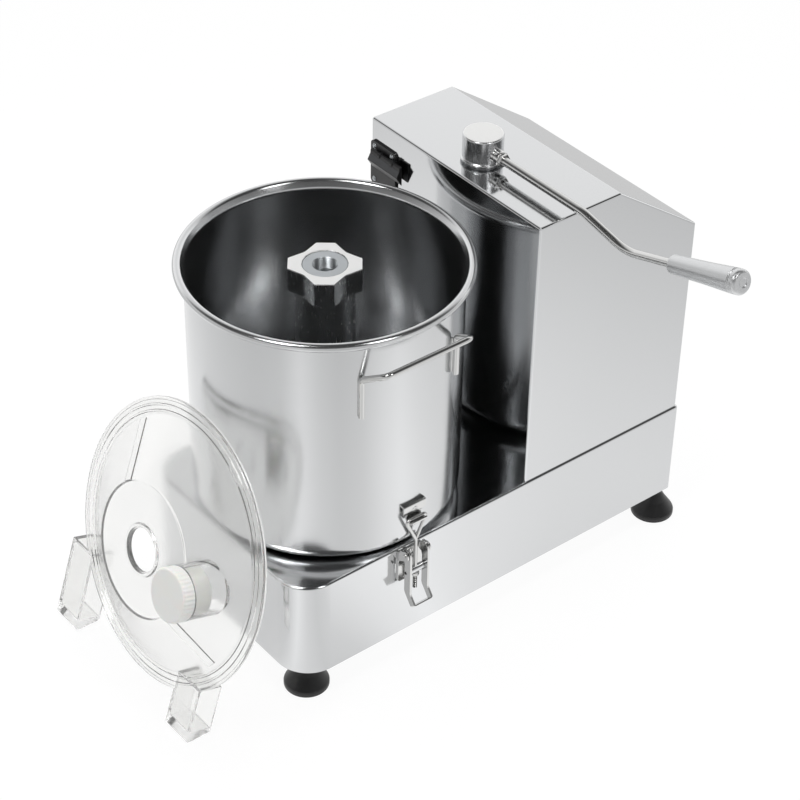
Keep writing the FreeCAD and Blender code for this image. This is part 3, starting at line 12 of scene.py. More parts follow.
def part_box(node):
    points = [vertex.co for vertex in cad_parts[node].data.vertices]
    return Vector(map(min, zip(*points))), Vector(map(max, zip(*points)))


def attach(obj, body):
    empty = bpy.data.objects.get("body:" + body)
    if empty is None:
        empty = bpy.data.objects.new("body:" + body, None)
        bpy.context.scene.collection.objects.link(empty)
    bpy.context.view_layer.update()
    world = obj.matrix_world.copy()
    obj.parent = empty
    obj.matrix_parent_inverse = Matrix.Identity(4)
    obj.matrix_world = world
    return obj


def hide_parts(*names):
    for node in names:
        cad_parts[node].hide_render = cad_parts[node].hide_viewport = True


bl_info = {
    "name": "Bowl Cutter Looks",
    "version": (1, 0, 0),
    "blender": (4, 5, 0),
    "location": "View3D > Sidebar > Bowl Cutter",
    "description": "Builds a bowl cutter's pieces, finishes and studio on its packed frame",
    "category": "Object",
}

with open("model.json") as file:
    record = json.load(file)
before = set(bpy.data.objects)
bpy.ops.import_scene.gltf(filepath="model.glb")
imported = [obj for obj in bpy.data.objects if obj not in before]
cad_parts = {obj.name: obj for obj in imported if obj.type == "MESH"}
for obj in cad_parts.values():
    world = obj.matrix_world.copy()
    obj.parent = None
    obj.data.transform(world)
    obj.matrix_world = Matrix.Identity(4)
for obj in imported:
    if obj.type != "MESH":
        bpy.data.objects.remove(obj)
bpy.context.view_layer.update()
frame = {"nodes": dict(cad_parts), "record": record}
NODES = frame["nodes"]
SLOTS = {row["node"]: row["material_slot"] for row in frame["record"]["subparts"]}


# Places. Sizes below are in millimetres from the spindle's axis and the table, X towards the tower.


def middle(node):
    low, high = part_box(node)
    return (low + high) / 2


SPINDLE = middle("hub_ring")


def at(x, y, z):
    """A point given in millimetres from the spindle and the table, in the frame's metres."""
    return Vector((SPINDLE.x + x / 1000, SPINDLE.y + y / 1000, z / 1000))


# Sizes that several pieces share, in millimetres.
BOWL_WALL = 122
BOWL_INSIDE = 120.5
LATCH_MIDDLE = 3
LATCH_PIVOT = (128.8, 131)
WIRE_OUT = 128
ROD_HEIGHT = 422.6
FEED_PLACE = (6.62, -75.71, 0)

ON_SPINDLE = Matrix.Translation(at(0, 0, 0))
ON_POST = Matrix.Translation(at(174.5, 0, 0))

# A profile's second axis set upright and drawn out along Y, or its drawing axis turned to X.
UPRIGHT = Matrix(((1, 0, 0, 0), (0, 0, 1, 0), (0, 1, 0, 0), (0, 0, 0, 1)))
OUTWARD = Matrix(((0, 0, 1, 0), (0, 1, 0, 0), (1, 0, 0, 0), (0, 0, 0, 1)))

# The lid leans against the base: its own X runs up its slope, and its Z is its outer side.
LEAN = math.radians(17.5)
LID_PLACE = Matrix.Translation(at(-177.5, -8.8, 151)) @ Matrix(
    ((math.sin(LEAN), 0, -math.cos(LEAN), 0), (0, 1, 0, 0),
     (math.cos(LEAN), 0, math.sin(LEAN), 0), (0, 0, 0, 1)))


def linear(code):
    """An sRGB hex colour as linear red, green and blue."""
    parts = [int(code[i:i + 2], 16) / 255 for i in (1, 3, 5)]
    return [c / 12.92 if c <= 0.04045 else ((c + 0.055) / 1.055) ** 2.4 for c in parts]


# Settings that a user would change.


def colour(name, description, code):
    return FloatVectorProperty(name=name, description=description, subtype="COLOR", size=3,
                               min=0, max=1, default=linear(code))


def share(name, description, default):
    return FloatProperty(name=name, description=description, subtype="FACTOR", min=0, max=1,
                         default=default)


def length(name, description, millimetres):
    return FloatProperty(name=name, description=description, subtype="DISTANCE", unit="LENGTH",
                         min=0, default=millimetres / 1000, precision=4)


class FinishSettings(bpy.types.PropertyGroup):
    """Colours and polish of the materials."""

    sheet: colour("Sheet steel", "Buffed stainless sheet of the base and the tower", "#D6D7D8")
    sheet_polish: share("Sheet roughness", "Roughness of the buffed sheet", 0.09)
    bowl: colour("Bowl steel", "Spun stainless outside of the bowl", "#D2D3D4")
    inside: colour("Bowl inside", "Polished stainless inside of the bowl", "#B9BBBD")
    # The colour of the blasted tops is paler than the sheet steel: painted light for the light that
    # falls on the tops.
    milled_painted_light: colour("Milled faces", "Bead-blasted tops of hub, cap and rim", "#F4F4F3")
    wire: colour("Plated wire", "Nickel-plated wire and levers", "#D0D0CF")
    zinc: colour("Zinc", "Zinc-plated fasteners and shafts", "#B5B9BC")
    aluminium: colour("Turned aluminium", "Lever grip, flanges and pulleys", "#D5D6D7")
    clear: colour("Polycarbonate", "Clear moulded lid", "#FBFBFA")
    white: colour("Polypropylene", "White moulded cap", "#F2F2EF")
    black: colour("ABS", "Black moulded switch", "#161617")
    worn: colour("Worn ABS", "Rubbed top of the switch hood", "#3A3B3D")
    rubber: colour("Rubber", "Black moulded feet, seat and belt", "#121213")
    paint: colour("Motor paint", "Grey stove enamel of the motor", "#5B6063")


class PieceSettings(bpy.types.PropertyGroup):
    """Fineness of the turned pieces and depth of the small details."""

    turns: IntProperty(name="Steps round", description="Steps round a large turned piece",
                       min=48, max=512, default=256)
    sides: IntProperty(name="Rod sides", description="Sides of a rod or wire", min=8, max=64,
                       default=24)
    groove: length("Groove", "Depth of the turned grooves in the lever grip", 0.35)
    ridge: length("Lid ridge", "Height of the rings on the lid's brim", 0.7)
    flute: length("Cap flute", "Depth of the flutes round the white cap", 0.5)


class StageSettings(bpy.types.PropertyGroup):
    """Floor, light and camera."""

    floor: colour("Floor", "Pale studio floor", "#F3F3F3")
    key: FloatProperty(name="Key light", description="Power of the soft box high on the left",
                       min=0, default=12, unit="POWER")
    fill: FloatProperty(name="Fill light", description="Power of the soft box high in front", min=0,
                        default=7, unit="POWER")
    top: FloatProperty(name="Top light", description="Power of the large light overhead", min=0,
                       default=34, unit="POWER")
    lens: FloatProperty(name="Lens", description="Focal length of the camera on a 36 mm sensor",
                        min=10, default=103.1, unit="CAMERA")


def finishes():
    return bpy.context.scene.cutter_finish


def sizes():
    return bpy.context.scene.cutter_pieces


# Mesh tools. A shape is a list of points in millimetres and a list of faces.

# Half the angle at a corner above which the line counts as straight there.
STRAIGHT = math.pi / 2 - 0.01


def arc(middle_x, middle_y, radius, start, end, steps):
    """Points on an arc, from start to end in degrees."""
    turn = [math.radians(start + (end - start) * i / steps) for i in range(steps + 1)]
    return [(middle_x + radius * math.cos(t), middle_y + radius * math.sin(t)) for t in turn]


def polygon(count, radius, middle_x=0):
    """Corners of an even polygon round (middle_x, 0)."""
    turns = [k * math.tau / count for k in range(count)]
    return [(middle_x + radius * math.cos(t), radius * math.sin(t)) for t in turns]


def rounded(corners, steps=5, closed=True):
    """The line through corners (x, y) or (x, y, radius), with a true arc at each radius."""
    out = []
    count = len(corners)
    for i, corner in enumerate(corners):
        radius = corner[2] if len(corner) > 2 else 0
        here = Vector(corner[:2])
        if not radius or (not closed and i in (0, count - 1)):
            out.append(tuple(here))
            continue
        back = (Vector(corners[i - 1][:2]) - here).normalized()
        on = (Vector(corners[(i + 1) % count][:2]) - here).normalized()
        half = back.angle(on) / 2
        if half > STRAIGHT:
            out.append(tuple(here))
            continue
        centre = here + (back + on).normalized() * (radius / math.sin(half))
        first = here + back * (radius / math.tan(half)) - centre
        last = here + on * (radius / math.tan(half)) - centre
        sweep = first.angle_signed(last)
        for k in range(steps + 1):
            t = -sweep * k / steps
            spoke = Vector((first.x * math.cos(t) - first.y * math.sin(t),
                            first.x * math.sin(t) + first.y * math.cos(t)))
            out.append(tuple(centre + spoke))
    return out


def lathe(profile, turns, closed=True):
    """A profile of (radius, height) turned about Z. Points on the axis become one point."""
    points, rings = [], []
    for radius, height in profile:
        if radius < 1e-6:
            rings.append([len(points)] * turns)
            points.append((0, 0, height))
            continue
        rings.append(list(range(len(points), len(points) + turns)))
        for k in range(turns):
            t = 2 * math.pi * k / turns
            points.append((radius * math.cos(t), radius * math.sin(t), height))
    faces = []
    for i in range(len(rings) if closed else len(rings) - 1):
        low, high = rings[i], rings[(i + 1) % len(rings)]
        for k in range(turns):
            n = (k + 1) % turns
            face = []
            for point in (low[k], low[n], high[n], high[k]):
                if point not in face:
                    face.append(point)
            if len(face) > 2:
                faces.append(tuple(face))
    return points, faces


def prism(outline, low, high):
    """An outline of (x, y) drawn out along Z from low to high."""
    count = len(outline)
    points = [(x, y, z) for z in (low, high) for x, y in outline]
    faces = [(i, (i + 1) % count, count + (i + 1) % count, count + i) for i in range(count)]
    return points, faces + [tuple(range(count))[::-1], tuple(range(count, 2 * count))]


def bent(corners, radius, steps=8):
    """The points of a wire through 3-D corners, with an arc at each bend."""
    out = [Vector(corners[0])]
    for before, corner, after in zip(corners, corners[1:], corners[2:]):
        here = Vector(corner)
        back, on = (Vector(before) - here).normalized(), (Vector(after) - here).normalized()
        half = back.angle(on) / 2
        if half > STRAIGHT:
            continue
        centre = here + (back + on).normalized() * (radius / math.sin(half))
        first = here + back * (radius / math.tan(half)) - centre
        last = here + on * (radius / math.tan(half)) - centre
        axis, angle = first.cross(last), first.angle(last)
        out += [centre + Matrix.Rotation(angle * k / steps, 3, axis) @ first
                for k in range(steps + 1)]
    return out + [Vector(corners[-1])]


def tube(path, radius, sides, closed=False):
    """A round rod along a path. The radius is one number or one for each point."""
    path = [Vector(p) for p in path]
    count = len(path)
    radii = list(radius) if hasattr(radius, "__len__") else [radius] * count
    points, frames = [], []
    across = None
    for i, here in enumerate(path):
        ahead = path[(i + 1) % count] if closed or i < count - 1 else here
        behind = path[i - 1] if closed or i else here
        along = (ahead - behind).normalized()
        if across is None:
            across = along.orthogonal().normalized()
        across = (across - along * across.dot(along)).normalized()
        frames.append((here, across.copy(), along.cross(across)))
    for (here, u, v), r in zip(frames, radii):
        for k in range(sides):
            t = 2 * math.pi * k / sides
            points.append(tuple(here + (u * math.cos(t) + v * math.sin(t)) * r))
    faces = []
    for i in range(count if closed else count - 1):
        a, b = i * sides, ((i + 1) % count) * sides
        faces += [(a + k, a + (k + 1) % sides, b + (k + 1) % sides, b + k) for k in range(sides)]
    if not closed:
        faces += [tuple(range(sides))[::-1], tuple(range((count - 1) * sides, count * sides))]
    return points, faces


def moved(shape, matrix):
    points, faces = shape
    return [tuple(matrix @ Vector(p)) for p in points], faces


def joined(*shapes):
    points, faces = [], []
    for more, sides in shapes:
        base = len(points)
        points += more
        faces += [tuple(base + i for i in face) for face in sides]
    return points, faces


def solid(name, shape, place=Matrix.Identity(4)):
    """A mesh object from a shape in millimetres."""
    points, faces = shape
    mesh = bpy.data.meshes.new(name)
    mesh.from_pydata([(x / 1000, y / 1000, z / 1000) for x, y, z in points], [], faces)
    work = bmesh.new()
    work.from_mesh(mesh)
    bmesh.ops.remove_doubles(work, verts=work.verts, dist=1e-7)
    bmesh.ops.recalc_face_normals(work, faces=work.faces)
    work.to_mesh(mesh)
    work.free()
    item = bpy.data.objects.new(name, mesh)
    bpy.context.scene.collection.objects.link(item)
    item.matrix_world = place
    return item


def fused(name, kept, added, taken=()):
    """One solid from a first object, more to add and some to take away."""
    for kind, tools in (("UNION", added), ("DIFFERENCE", taken)):
        for tool in tools:
            step = kept.modifiers.new(kind, "BOOLEAN")
            step.operation = kind
            step.solver = "EXACT"
            step.object = tool
    bpy.context.view_layer.update()
    ready = kept.evaluated_get(bpy.context.evaluated_depsgraph_get())
    mesh = bpy.data.meshes.new_from_object(ready)
    mesh.name = name
    kept.modifiers.clear()
    kept.data = mesh
    for tool in list(added) + list(taken):
        bpy.data.objects.remove(tool)
    return kept


def dress(item, body, looks, stands_for, crease=32, edge=0.0):
    """Finish a piece: soft edges, smooth shading, materials, body and the nodes it stands for."""
    if item.matrix_world.to_quaternion().angle > 1e-6:
        item.data.transform(item.matrix_world)
        item.matrix_world = Matrix.Identity(4)
    item.data.materials.clear()
    for look in looks:
        item.data.materials.append(finish(look))
    item.data.shade_smooth()
    item.data.set_sharp_from_angle(angle=math.radians(crease))
    if edge:
        soft = item.modifiers.new("Edges", "BEVEL")
        soft.width = edge / 1000
        soft.segments = 3
        soft.limit_method = "ANGLE"
        soft.angle_limit = math.radians(crease)
        soft.harden_normals = True
        soft.use_clamp_overlap = True
    else:
        even = item.modifiers.new("Even shading", "WEIGHTED_NORMAL")
        even.keep_sharp = True
    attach(item, body)
    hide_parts(*stands_for)


# Materials. Each is named for what it is and how its surface was made.


def add(tree, kind, settings=None, **links):
    """A node with its properties and sockets set, and other nodes' sockets linked to it."""
    node = tree.nodes.new(kind)
    for key, setting in (settings or {}).items():
        if isinstance(key, int) or key in node.inputs:
            node.inputs[key].default_value = setting
        else:
            setattr(node, key, setting)
    for key, source in links.items():
        tree.links.new(source, node.inputs[key.replace("_", " ")])
    return node


def surface(name, tint, metallic, roughness, **sockets):
    """A material with one Principled shader, whose even values are set on its own sockets."""
    material = bpy.data.materials.new(name)
    material.use_nodes = True
    tree = material.node_tree
    shader = tree.nodes["Principled BSDF"]
    shader.inputs["Base Color"].default_value = (*tint, 1)
    shader.inputs["Metallic"].default_value = metallic
    shader.inputs["Roughness"].default_value = roughness
    for key, setting in sockets.items():
        shader.inputs[key.replace("_", " ")].default_value = setting
    material.diffuse_color = (*tint, 1)
    return material, tree, shader


def spread(tree, source, low, high, target):
    """A pattern from 0 to 1 brought to a range and linked to a socket."""
    made = add(tree, "ShaderNodeMapRange", {"To Min": low, "To Max": high}, Value=source)
    tree.links.new(made.outputs["Result"], target)


def relief(tree, source, shader, height):
    """Bump of a height in millimetres."""
    bump = add(tree, "ShaderNodeBump", {"Strength": 1.0, "Distance": height / 1000}, Height=source)
    tree.links.new(bump.outputs["Normal"], shader.inputs["Normal"])


def place_on(tree, stretch=(1, 1, 1)):
    """Object coordinates in metres, stretched along X, Y and Z."""
    here = add(tree, "ShaderNodeTexCoord").outputs["Object"]
    return add(tree, "ShaderNodeMapping", {"Scale": stretch}, Vector=here).outputs["Vector"]


def noise(tree, vector, size, detail=2.0):
    """Noise whose features are about size millimetres wide."""
    made = add(tree, "ShaderNodeTexNoise", {"Scale": 500 / size, "Detail": detail}, Vector=vector)
    return made.outputs["Fac"]


def buffed_stainless_sheet():
    """Cold-rolled 304 sheet, mirror buffed. The eye gets clear, slightly soft reflections that
    waver over 60 mm where the sheet isn't quite flat, and faint cloudy buffing marks."""
    f = finishes()
    material, tree, shader = surface("buffed_stainless_sheet", f.sheet, 1, f.sheet_polish)
    spot = place_on(tree)
    spread(tree, noise(tree, spot, 35, 3), f.sheet_polish * 0.8, f.sheet_polish * 1.35,
           shader.inputs["Roughness"])
    relief(tree, noise(tree, spot, 60, 0), shader, 0.1)
    return material


def spun_stainless():
    """Deep-drawn bowl wall, ground round and round. The scratches run with the wall, so light
    spreads up and down it into soft upright bands. Lines of 0.6 mm stand for finer ones."""
    f = finishes()
    material, tree, shader = surface("spun_stainless", f.bowl, 1, 0.2, Anisotropic=0.55,
                                     Anisotropic_Rotation=0.25)
    tangent = add(tree, "ShaderNodeTangent", {"direction_type": "RADIAL", "axis": "Z"})
    tree.links.new(tangent.outputs["Tangent"], shader.inputs["Tangent"])
    lines = noise(tree, place_on(tree, (0.02, 0.02, 1)), 0.6, 2)
    cloud = noise(tree, place_on(tree), 45, 3)
    mixed = add(tree, "ShaderNodeMath", {"operation": "MULTIPLY"})
    tree.links.new(lines, mixed.inputs[0])
    tree.links.new(cloud, mixed.inputs[1])
    spread(tree, mixed.outputs[0], 0.15, 0.29, shader.inputs["Roughness"])
    relief(tree, noise(tree, place_on(tree), 70, 0), shader, 0.12)
    return material


def polished_bowl_steel():
    """Inside of the bowl, polished to wipe clean. Reflections are crisp and bend over the wall's
    slight unevenness, with very faint swirls from the buff."""
    f = finishes()
    material, tree, shader = surface("polished_bowl_steel", f.inside, 1, 0.1)
    spread(tree, noise(tree, place_on(tree), 30, 4), 0.07, 0.15, shader.inputs["Roughness"])
    relief(tree, noise(tree, place_on(tree, (1, 1, 0.4)), 55, 1), shader, 0.25)
    return material


def ground_stainless():
    """Milled and ground faces of the hub, sleeve and knives. A fine grain of 0.5 mm breaks the
    reflections into a bright sheen."""
    f = finishes()
    material, tree, shader = surface("ground_stainless", f.sheet, 1, 0.24)
    grain = noise(tree, place_on(tree, (1, 1, 0.1)), 0.5, 3)
    spread(tree, grain, 0.18, 0.32, shader.inputs["Roughness"])
    relief(tree, grain, shader, 0.004)
    return material


def blasted_top_painted_light():
    """Bead-blasted tops of the hub nut, the lever's cap and the rim. Their roughness spreads the
    light evenly; their colour is paler than the steel round them, painted light for the light that
    falls on the tops."""
    material, tree, shader = surface("blasted_top_painted_light", finishes().milled_painted_light, 1, 0.42)
    spread(tree, noise(tree, place_on(tree), 1.5, 3), 0.38, 0.48, shader.inputs["Roughness"])
    return material


def plated_wire():
    """Nickel-plated rod, wire and pressings. Bright with a warm cast and tiny pits of the
    plating."""
    material, tree, shader = surface("plated_wire", finishes().wire, 1, 0.14)
    pits = noise(tree, place_on(tree), 3, 3)
    spread(tree, pits, 0.09, 0.22, shader.inputs["Roughness"])
    relief(tree, pits, shader, 0.01)
    return material


def zinc_plate():
    """Blue-passivated zinc on fasteners and shafts: a duller grey with cloudy patches."""
    material, tree, shader = surface("zinc_plate", finishes().zinc, 1, 0.34)
    spread(tree, noise(tree, place_on(tree), 6, 4), 0.26, 0.45, shader.inputs["Roughness"])
    return material


def turned_aluminium():
    """Lathe-turned and clear-anodised aluminium: pale, soft sheen with fine turning marks. Marks of
    2 mm stand for finer ones."""
    material, tree, shader = surface("turned_aluminium", finishes().aluminium, 1, 0.36)
    marks = noise(tree, place_on(tree, (0.05, 1, 0.05)), 2, 1)
    spread(tree, marks, 0.32, 0.4, shader.inputs["Roughness"])
    return material


def clear_polycarbonate():
    """Injection-moulded clear polycarbonate, a little milky from use. Edges gather light and
    turn whitish, and fine wipe marks haze the faces."""
    material, tree, shader = surface("clear_polycarbonate", finishes().clear, 0, 0.1, IOR=1.585,
                                     Transmission_Weight=0.93)
    spread(tree, noise(tree, place_on(tree), 22, 5), 0.05, 0.17, shader.inputs["Roughness"])
    relief(tree, noise(tree, place_on(tree), 40, 0), shader, 0.05)
    return material


def moulded_polypropylene():
    """Moulded white polypropylene: a waxy half gloss with a little light carried inside."""
    material, tree, shader = surface("moulded_polypropylene", finishes().white, 0, 0.34, IOR=1.49,
                                     Subsurface_Weight=0.15, Subsurface_Scale=0.004)
    relief(tree, noise(tree, place_on(tree), 1.2, 2), shader, 0.01)
    return material


def moulded_abs():
    """Black moulded ABS with a fine spark texture that softens its shine."""
    material, tree, shader = surface("moulded_abs", finishes().black, 0, 0.36, IOR=1.53)
    grain = noise(tree, place_on(tree), 0.9, 2)
    spread(tree, grain, 0.3, 0.44, shader.inputs["Roughness"])
    relief(tree, grain, shader, 0.015)
    return material


def worn_abs():
    """Sloped top of the switch hood, rubbed by fingers to a dark grey."""
    material, tree, shader = surface("worn_abs", finishes().worn, 0, 0.42, IOR=1.53)
    spread(tree, noise(tree, place_on(tree), 4, 3), 0.34, 0.5, shader.inputs["Roughness"])
    return material


def moulded_rubber():
    """Black moulded rubber, new and slightly shiny from its mould, with faint bloom."""
    material, tree, shader = surface("moulded_rubber", finishes().rubber, 0, 0.38, IOR=1.52)
    spread(tree, noise(tree, place_on(tree), 9, 3), 0.3, 0.5, shader.inputs["Roughness"])
    relief(tree, noise(tree, place_on(tree), 1.5, 2), shader, 0.02)
    return material


def stove_enamel():
    """Grey stove enamel over a cast motor case: even colour with a light orange peel."""
    material, tree, shader = surface("stove_enamel", finishes().paint, 0, 0.45, IOR=1.5)
    relief(tree, noise(tree, place_on(tree), 2.5, 1), shader, 0.03)
    return material


MAKERS = {
    "polished_steel": buffed_stainless_sheet, "satin_steel": ground_stainless,
    "zinc_steel": zinc_plate, "cast_aluminium": turned_aluminium,
    "clear_plastic": clear_polycarbonate, "white_plastic": moulded_polypropylene,
    "black_plastic": moulded_abs, "black_rubber": moulded_rubber, "motor_paint": stove_enamel,
    "spun": spun_stainless, "inside": polished_bowl_steel, "wire": plated_wire,
    "worn": worn_abs, "milled_painted_light": blasted_top_painted_light,
}
MADE = {}


def finish(name):
    """The material of a slot or a special finish, made once."""
    if name not in MADE:
        MADE[name] = MAKERS[name]()
    return MADE[name]


# Pieces


class CUTTER_OT_carried_nodes(bpy.types.Operator):
    """Give every node that stays its own material"""

    bl_idname = "cutter.carried_nodes"
    bl_label = "Finish the Carried-over Nodes"

    def execute(self, context):
        for name, node in NODES.items():
            node.data.materials.clear()
            node.data.materials.append(finish("wire" if name.startswith("latch_") else SLOTS[name]))
        return {"FINISHED"}


class CUTTER_OT_bowl(bpy.types.Operator):
    """Spin the bowl with its rolled rim, its rounded floor and its middle tube"""

    bl_idname = "cutter.bowl"
    bl_label = "Bowl"

    def execute(self, context):
        inner = rounded([(123.54, 375.4), (BOWL_INSIDE, 370.2, 7), (BOWL_INSIDE, 136.2, 14.5),
                         (20, 136.2, 2.5), (20, 304.2, 0.6), (18.5, 304.2, 0.6), (18.5, 134.7)], 8,
                        closed=False)
        outer = rounded([(18.5, 134.7), (BOWL_WALL, 134.7, 16), (BOWL_WALL, 368.4, 4),
                         (124.17, 370.57)], 10, closed=False)[1:]
        rim = arc(127, 373.4, 4, -135, 150, 20)[1:-1]
        item = solid("bowl_spun", lathe(inner + outer + rim, sizes().turns), ON_SPINDLE)
        for face in item.data.polygons:
            out = Vector(face.center[:2]).dot(Vector(face.normal[:2])) > 0
            wall = Vector(face.center[:2]).length > 0.1205 and face.center.z < 0.3695
            face.material_index = 0 if wall and out or face.center.z < 0.1355 else 1
            # The rim's upward faces get the paler blasted finish: painted light on the top of the
            # rim.
            if face.center.z > 0.372 and face.normal.z > 0.35:
                face.material_index = 2
        dress(item, "machine", ["spun", "inside", "milled_painted_light"], ["bowl"])
        return {"FINISHED"}


HANDLE_ROD = 2.9


def rod_handle(side):
    """Path of one handle: up the wall, out at the knees and along the bar."""
    reach, leg, half, bar = 140, 51, 45, 351.4
    wall = -math.sqrt((BOWL_WALL + HANDLE_ROD) ** 2 - leg ** 2)
    knee = bar - 16
    corners = [(-leg, wall, knee - 39), (-leg, wall, knee), (-half, -reach, bar),
               (half, -reach, bar), (leg, wall, knee), (leg, wall, knee - 39)]
    return [(x + LATCH_MIDDLE, -y if side == "left" else y, z) for x, y, z in bent(corners, 7, 10)]


class CUTTER_OT_handles(bpy.types.Operator):
    """Bend the two rod handles and weld their legs to the bowl"""

    bl_idname = "cutter.handles"
    bl_label = "Bowl Handles"

    def execute(self, context):
        for side in ("right", "left"):
            path = rod_handle(side)
            shapes = [tube(path, HANDLE_ROD, sizes().sides)]
            for end in (0, -1):
                low, toward = path[end], Vector(path[end]).xy.normalized()
                toward *= BOWL_WALL + 0.4
                weld = [(*toward, low[2] + k) for k in (1, 8, 16, 24, 32, 36)]
                shapes.append(tube(weld, [1.0, 1.9, 1.5, 1.9, 1.4, 0.8], 12))
            item = solid("handle_" + side, joined(*shapes), ON_SPINDLE)
            dress(item, "machine", ["wire"], ["bowl_handle_" + side])
        return {"FINISHED"}


class CUTTER_OT_hub(bpy.types.Operator):
    """Mill the four-lobed hub nut and turn its threaded ring"""

    bl_idname = "cutter.hub"
    bl_label = "Hub Nut"

    def execute(self, context):
        flute, half, corners = 25.5 * math.cos(math.radians(45)), 8.5, []
        for quarter in range(4):
            for x, y, r in ((32.5, -half, 1.6), (32.5, half, 1.6), (flute, flute, 9)):
                for _ in range(quarter):
                    x, y = -y, x
                corners.append((x, y, r))
        turn = ON_SPINDLE @ Matrix.Rotation(math.radians(52), 4, "Z")
        star = solid("hub_nut_milled", prism(rounded(corners, 8), 347, 370.5), turn)
        seat = solid("seat_cut", prism(polygon(48, 19.9), 358.5, 372), turn)
        nut = fused("hub_nut_milled", star, [], [seat])
        dress(nut, "blades", ["satin_steel", "milled_painted_light"], ["hub_nut"], edge=1.0)
        # The nut's upward top faces get the paler blasted finish: painted light on its top.
        for face in nut.data.polygons:
            face.material_index = 1 if face.normal.z > 0.9 and face.center.z > 0.37 else 0
        thread = []
        for k in range(8):
            thread += [(10.0, 358.9 + k * 1.25), (10.7, 359.5 + k * 1.25)]
        profile = rounded([(19.7, 358.5), (19.7, 369.9, 0.4), (11.3, 369.9, 0.4)], 3, closed=False)
        profile += [(10.3, 369.0)] + thread[::-1] + [(10.0, 358.5)]
        ring = solid("hub_ring_threaded", lathe(profile, 96), ON_SPINDLE)
        dress(ring, "blades", ["zinc_steel"], ["hub_ring"])
        return {"FINISHED"}


def lug(near, root):
    """Outline pieces of one lug, in the lid's own place: a box open at its back."""
    wall, wide = 3, 33
    reach = 151 / math.cos(LEAN) - 0.3
    heel = reach - 25 * math.tan(LEAN)
    outer = rounded([(-root, 0), (-reach, 0, 3), (-heel, -25, 1.5), (-root, -25, 3)], 5)
    inner = rounded([(-root - wall, -wall, 1.5), (wall - heel, -wall, 1.5), (wall - heel, -27),
                     (-root - wall, -27)], 4)
    place = Matrix.Translation((0, near, 0)) @ UPRIGHT
    return moved(prism(outer, 0, wide), place), moved(prism(inner, wall, wide - wall), place)


class CUTTER_OT_lid(bpy.types.Operator):
    """Mould the clear lid: brim with rings, cone with ribs, feed tube and two lugs"""

    bl_idname = "cutter.lid"
    bl_label = "Lid"

    def execute(self, context):
        ridge = sizes().ridge * 1000
        rings = []
        for place in (118.5, 124):
            rings += [(place - 1.2, 0), (place - 0.6, ridge), (place + 0.6, ridge),
                      (place + 1.2, 0)]
        crown = [(19.7, 30), (21.2, 31.2, 0.6), (23, 31.2, 0.6), (24.4, 30, 0.6), (61.5, 30, 3),
                 (115.5, 0.28, 2)]
        brim = [(131, 0, 1.2), (131, -4, 0.8), (128, -4, 0.8), (128, -3), (114.5, -3, 3)]
        outer = rounded(crown + rings + brim + [(60, 27, 3), (19.7, 27)], 5)
        dish = solid("lid_moulded", lathe(outer, sizes().turns), LID_PLACE)
        feed = Matrix.Translation(FEED_PLACE)
        wall = rounded([(21.7, 12), (24.2, 12), (24.2, 45, 1), (21.7, 45, 0.8)], 4)
        neck = solid("neck", moved(lathe(wall, 96), feed), LID_PLACE)
        hole = lathe([(0, -9), (21.72, -9), (21.72, 46), (0, 46)], 96, closed=False)
        bore = solid("bore", moved(hole, feed), LID_PLACE)
        added, taken = [neck], [bore]
        for near, root in ((-83, 100), (99, 74)):
            body, hollow = lug(near, root)
            added.append(solid("lug", body, LID_PLACE))
            taken.append(solid("hollow", hollow, LID_PLACE))
        for turn in (128.8, -35.5):
            along = Matrix.Rotation(math.radians(turn - 90), 4, "Z")
            rib = prism([(60, 29.2), (62, 31), (113, 2.8), (113, 1.2)], -4.5, 4.5)
            added.append(solid("rib", moved(rib, along @ UPRIGHT), LID_PLACE))
        item = fused("lid_moulded", dish, added, taken)
        dress(item, "lid", ["clear_plastic"], ["lid"], crease=28)
        return {"FINISHED"}


class CUTTER_OT_feed_cap(bpy.types.Operator):
    """Mould the fluted white cap of the feed tube"""

    bl_idname = "cutter.feed_cap"
    bl_label = "Feed Cap"

    def execute(self, context):
        low, high = 45.3, 57.3
        profile = rounded([(0, high), (24.2, high, 2.5), (24.2, low, 0.8), (21.4, low),
                           (21.4, 27, 0.8), (18.4, 27, 0.8), (18.4, 48, 1), (0, 48)], 5,
                          closed=False)
        points, faces = lathe(profile, 240, closed=False)
        shaped = []
        for x, y, z in points:
            r = math.hypot(x, y)
            if r > 22.5 and low + 0.5 < z < high - 1:
                dip = sizes().flute * 1000 * (0.5 + 0.5 * math.cos(math.atan2(y, x) * 40))
                x, y = x * (r - dip) / r, y * (r - dip) / r
            shaped.append((x, y, z))
        shaped = moved((shaped, faces), Matrix.Translation(FEED_PLACE))
        item = solid("feed_cap", shaped, LID_PLACE)
        dress(item, "feed_plug", ["white_plastic"], ["feed_plug"], crease=50)
        return {"FINISHED"}


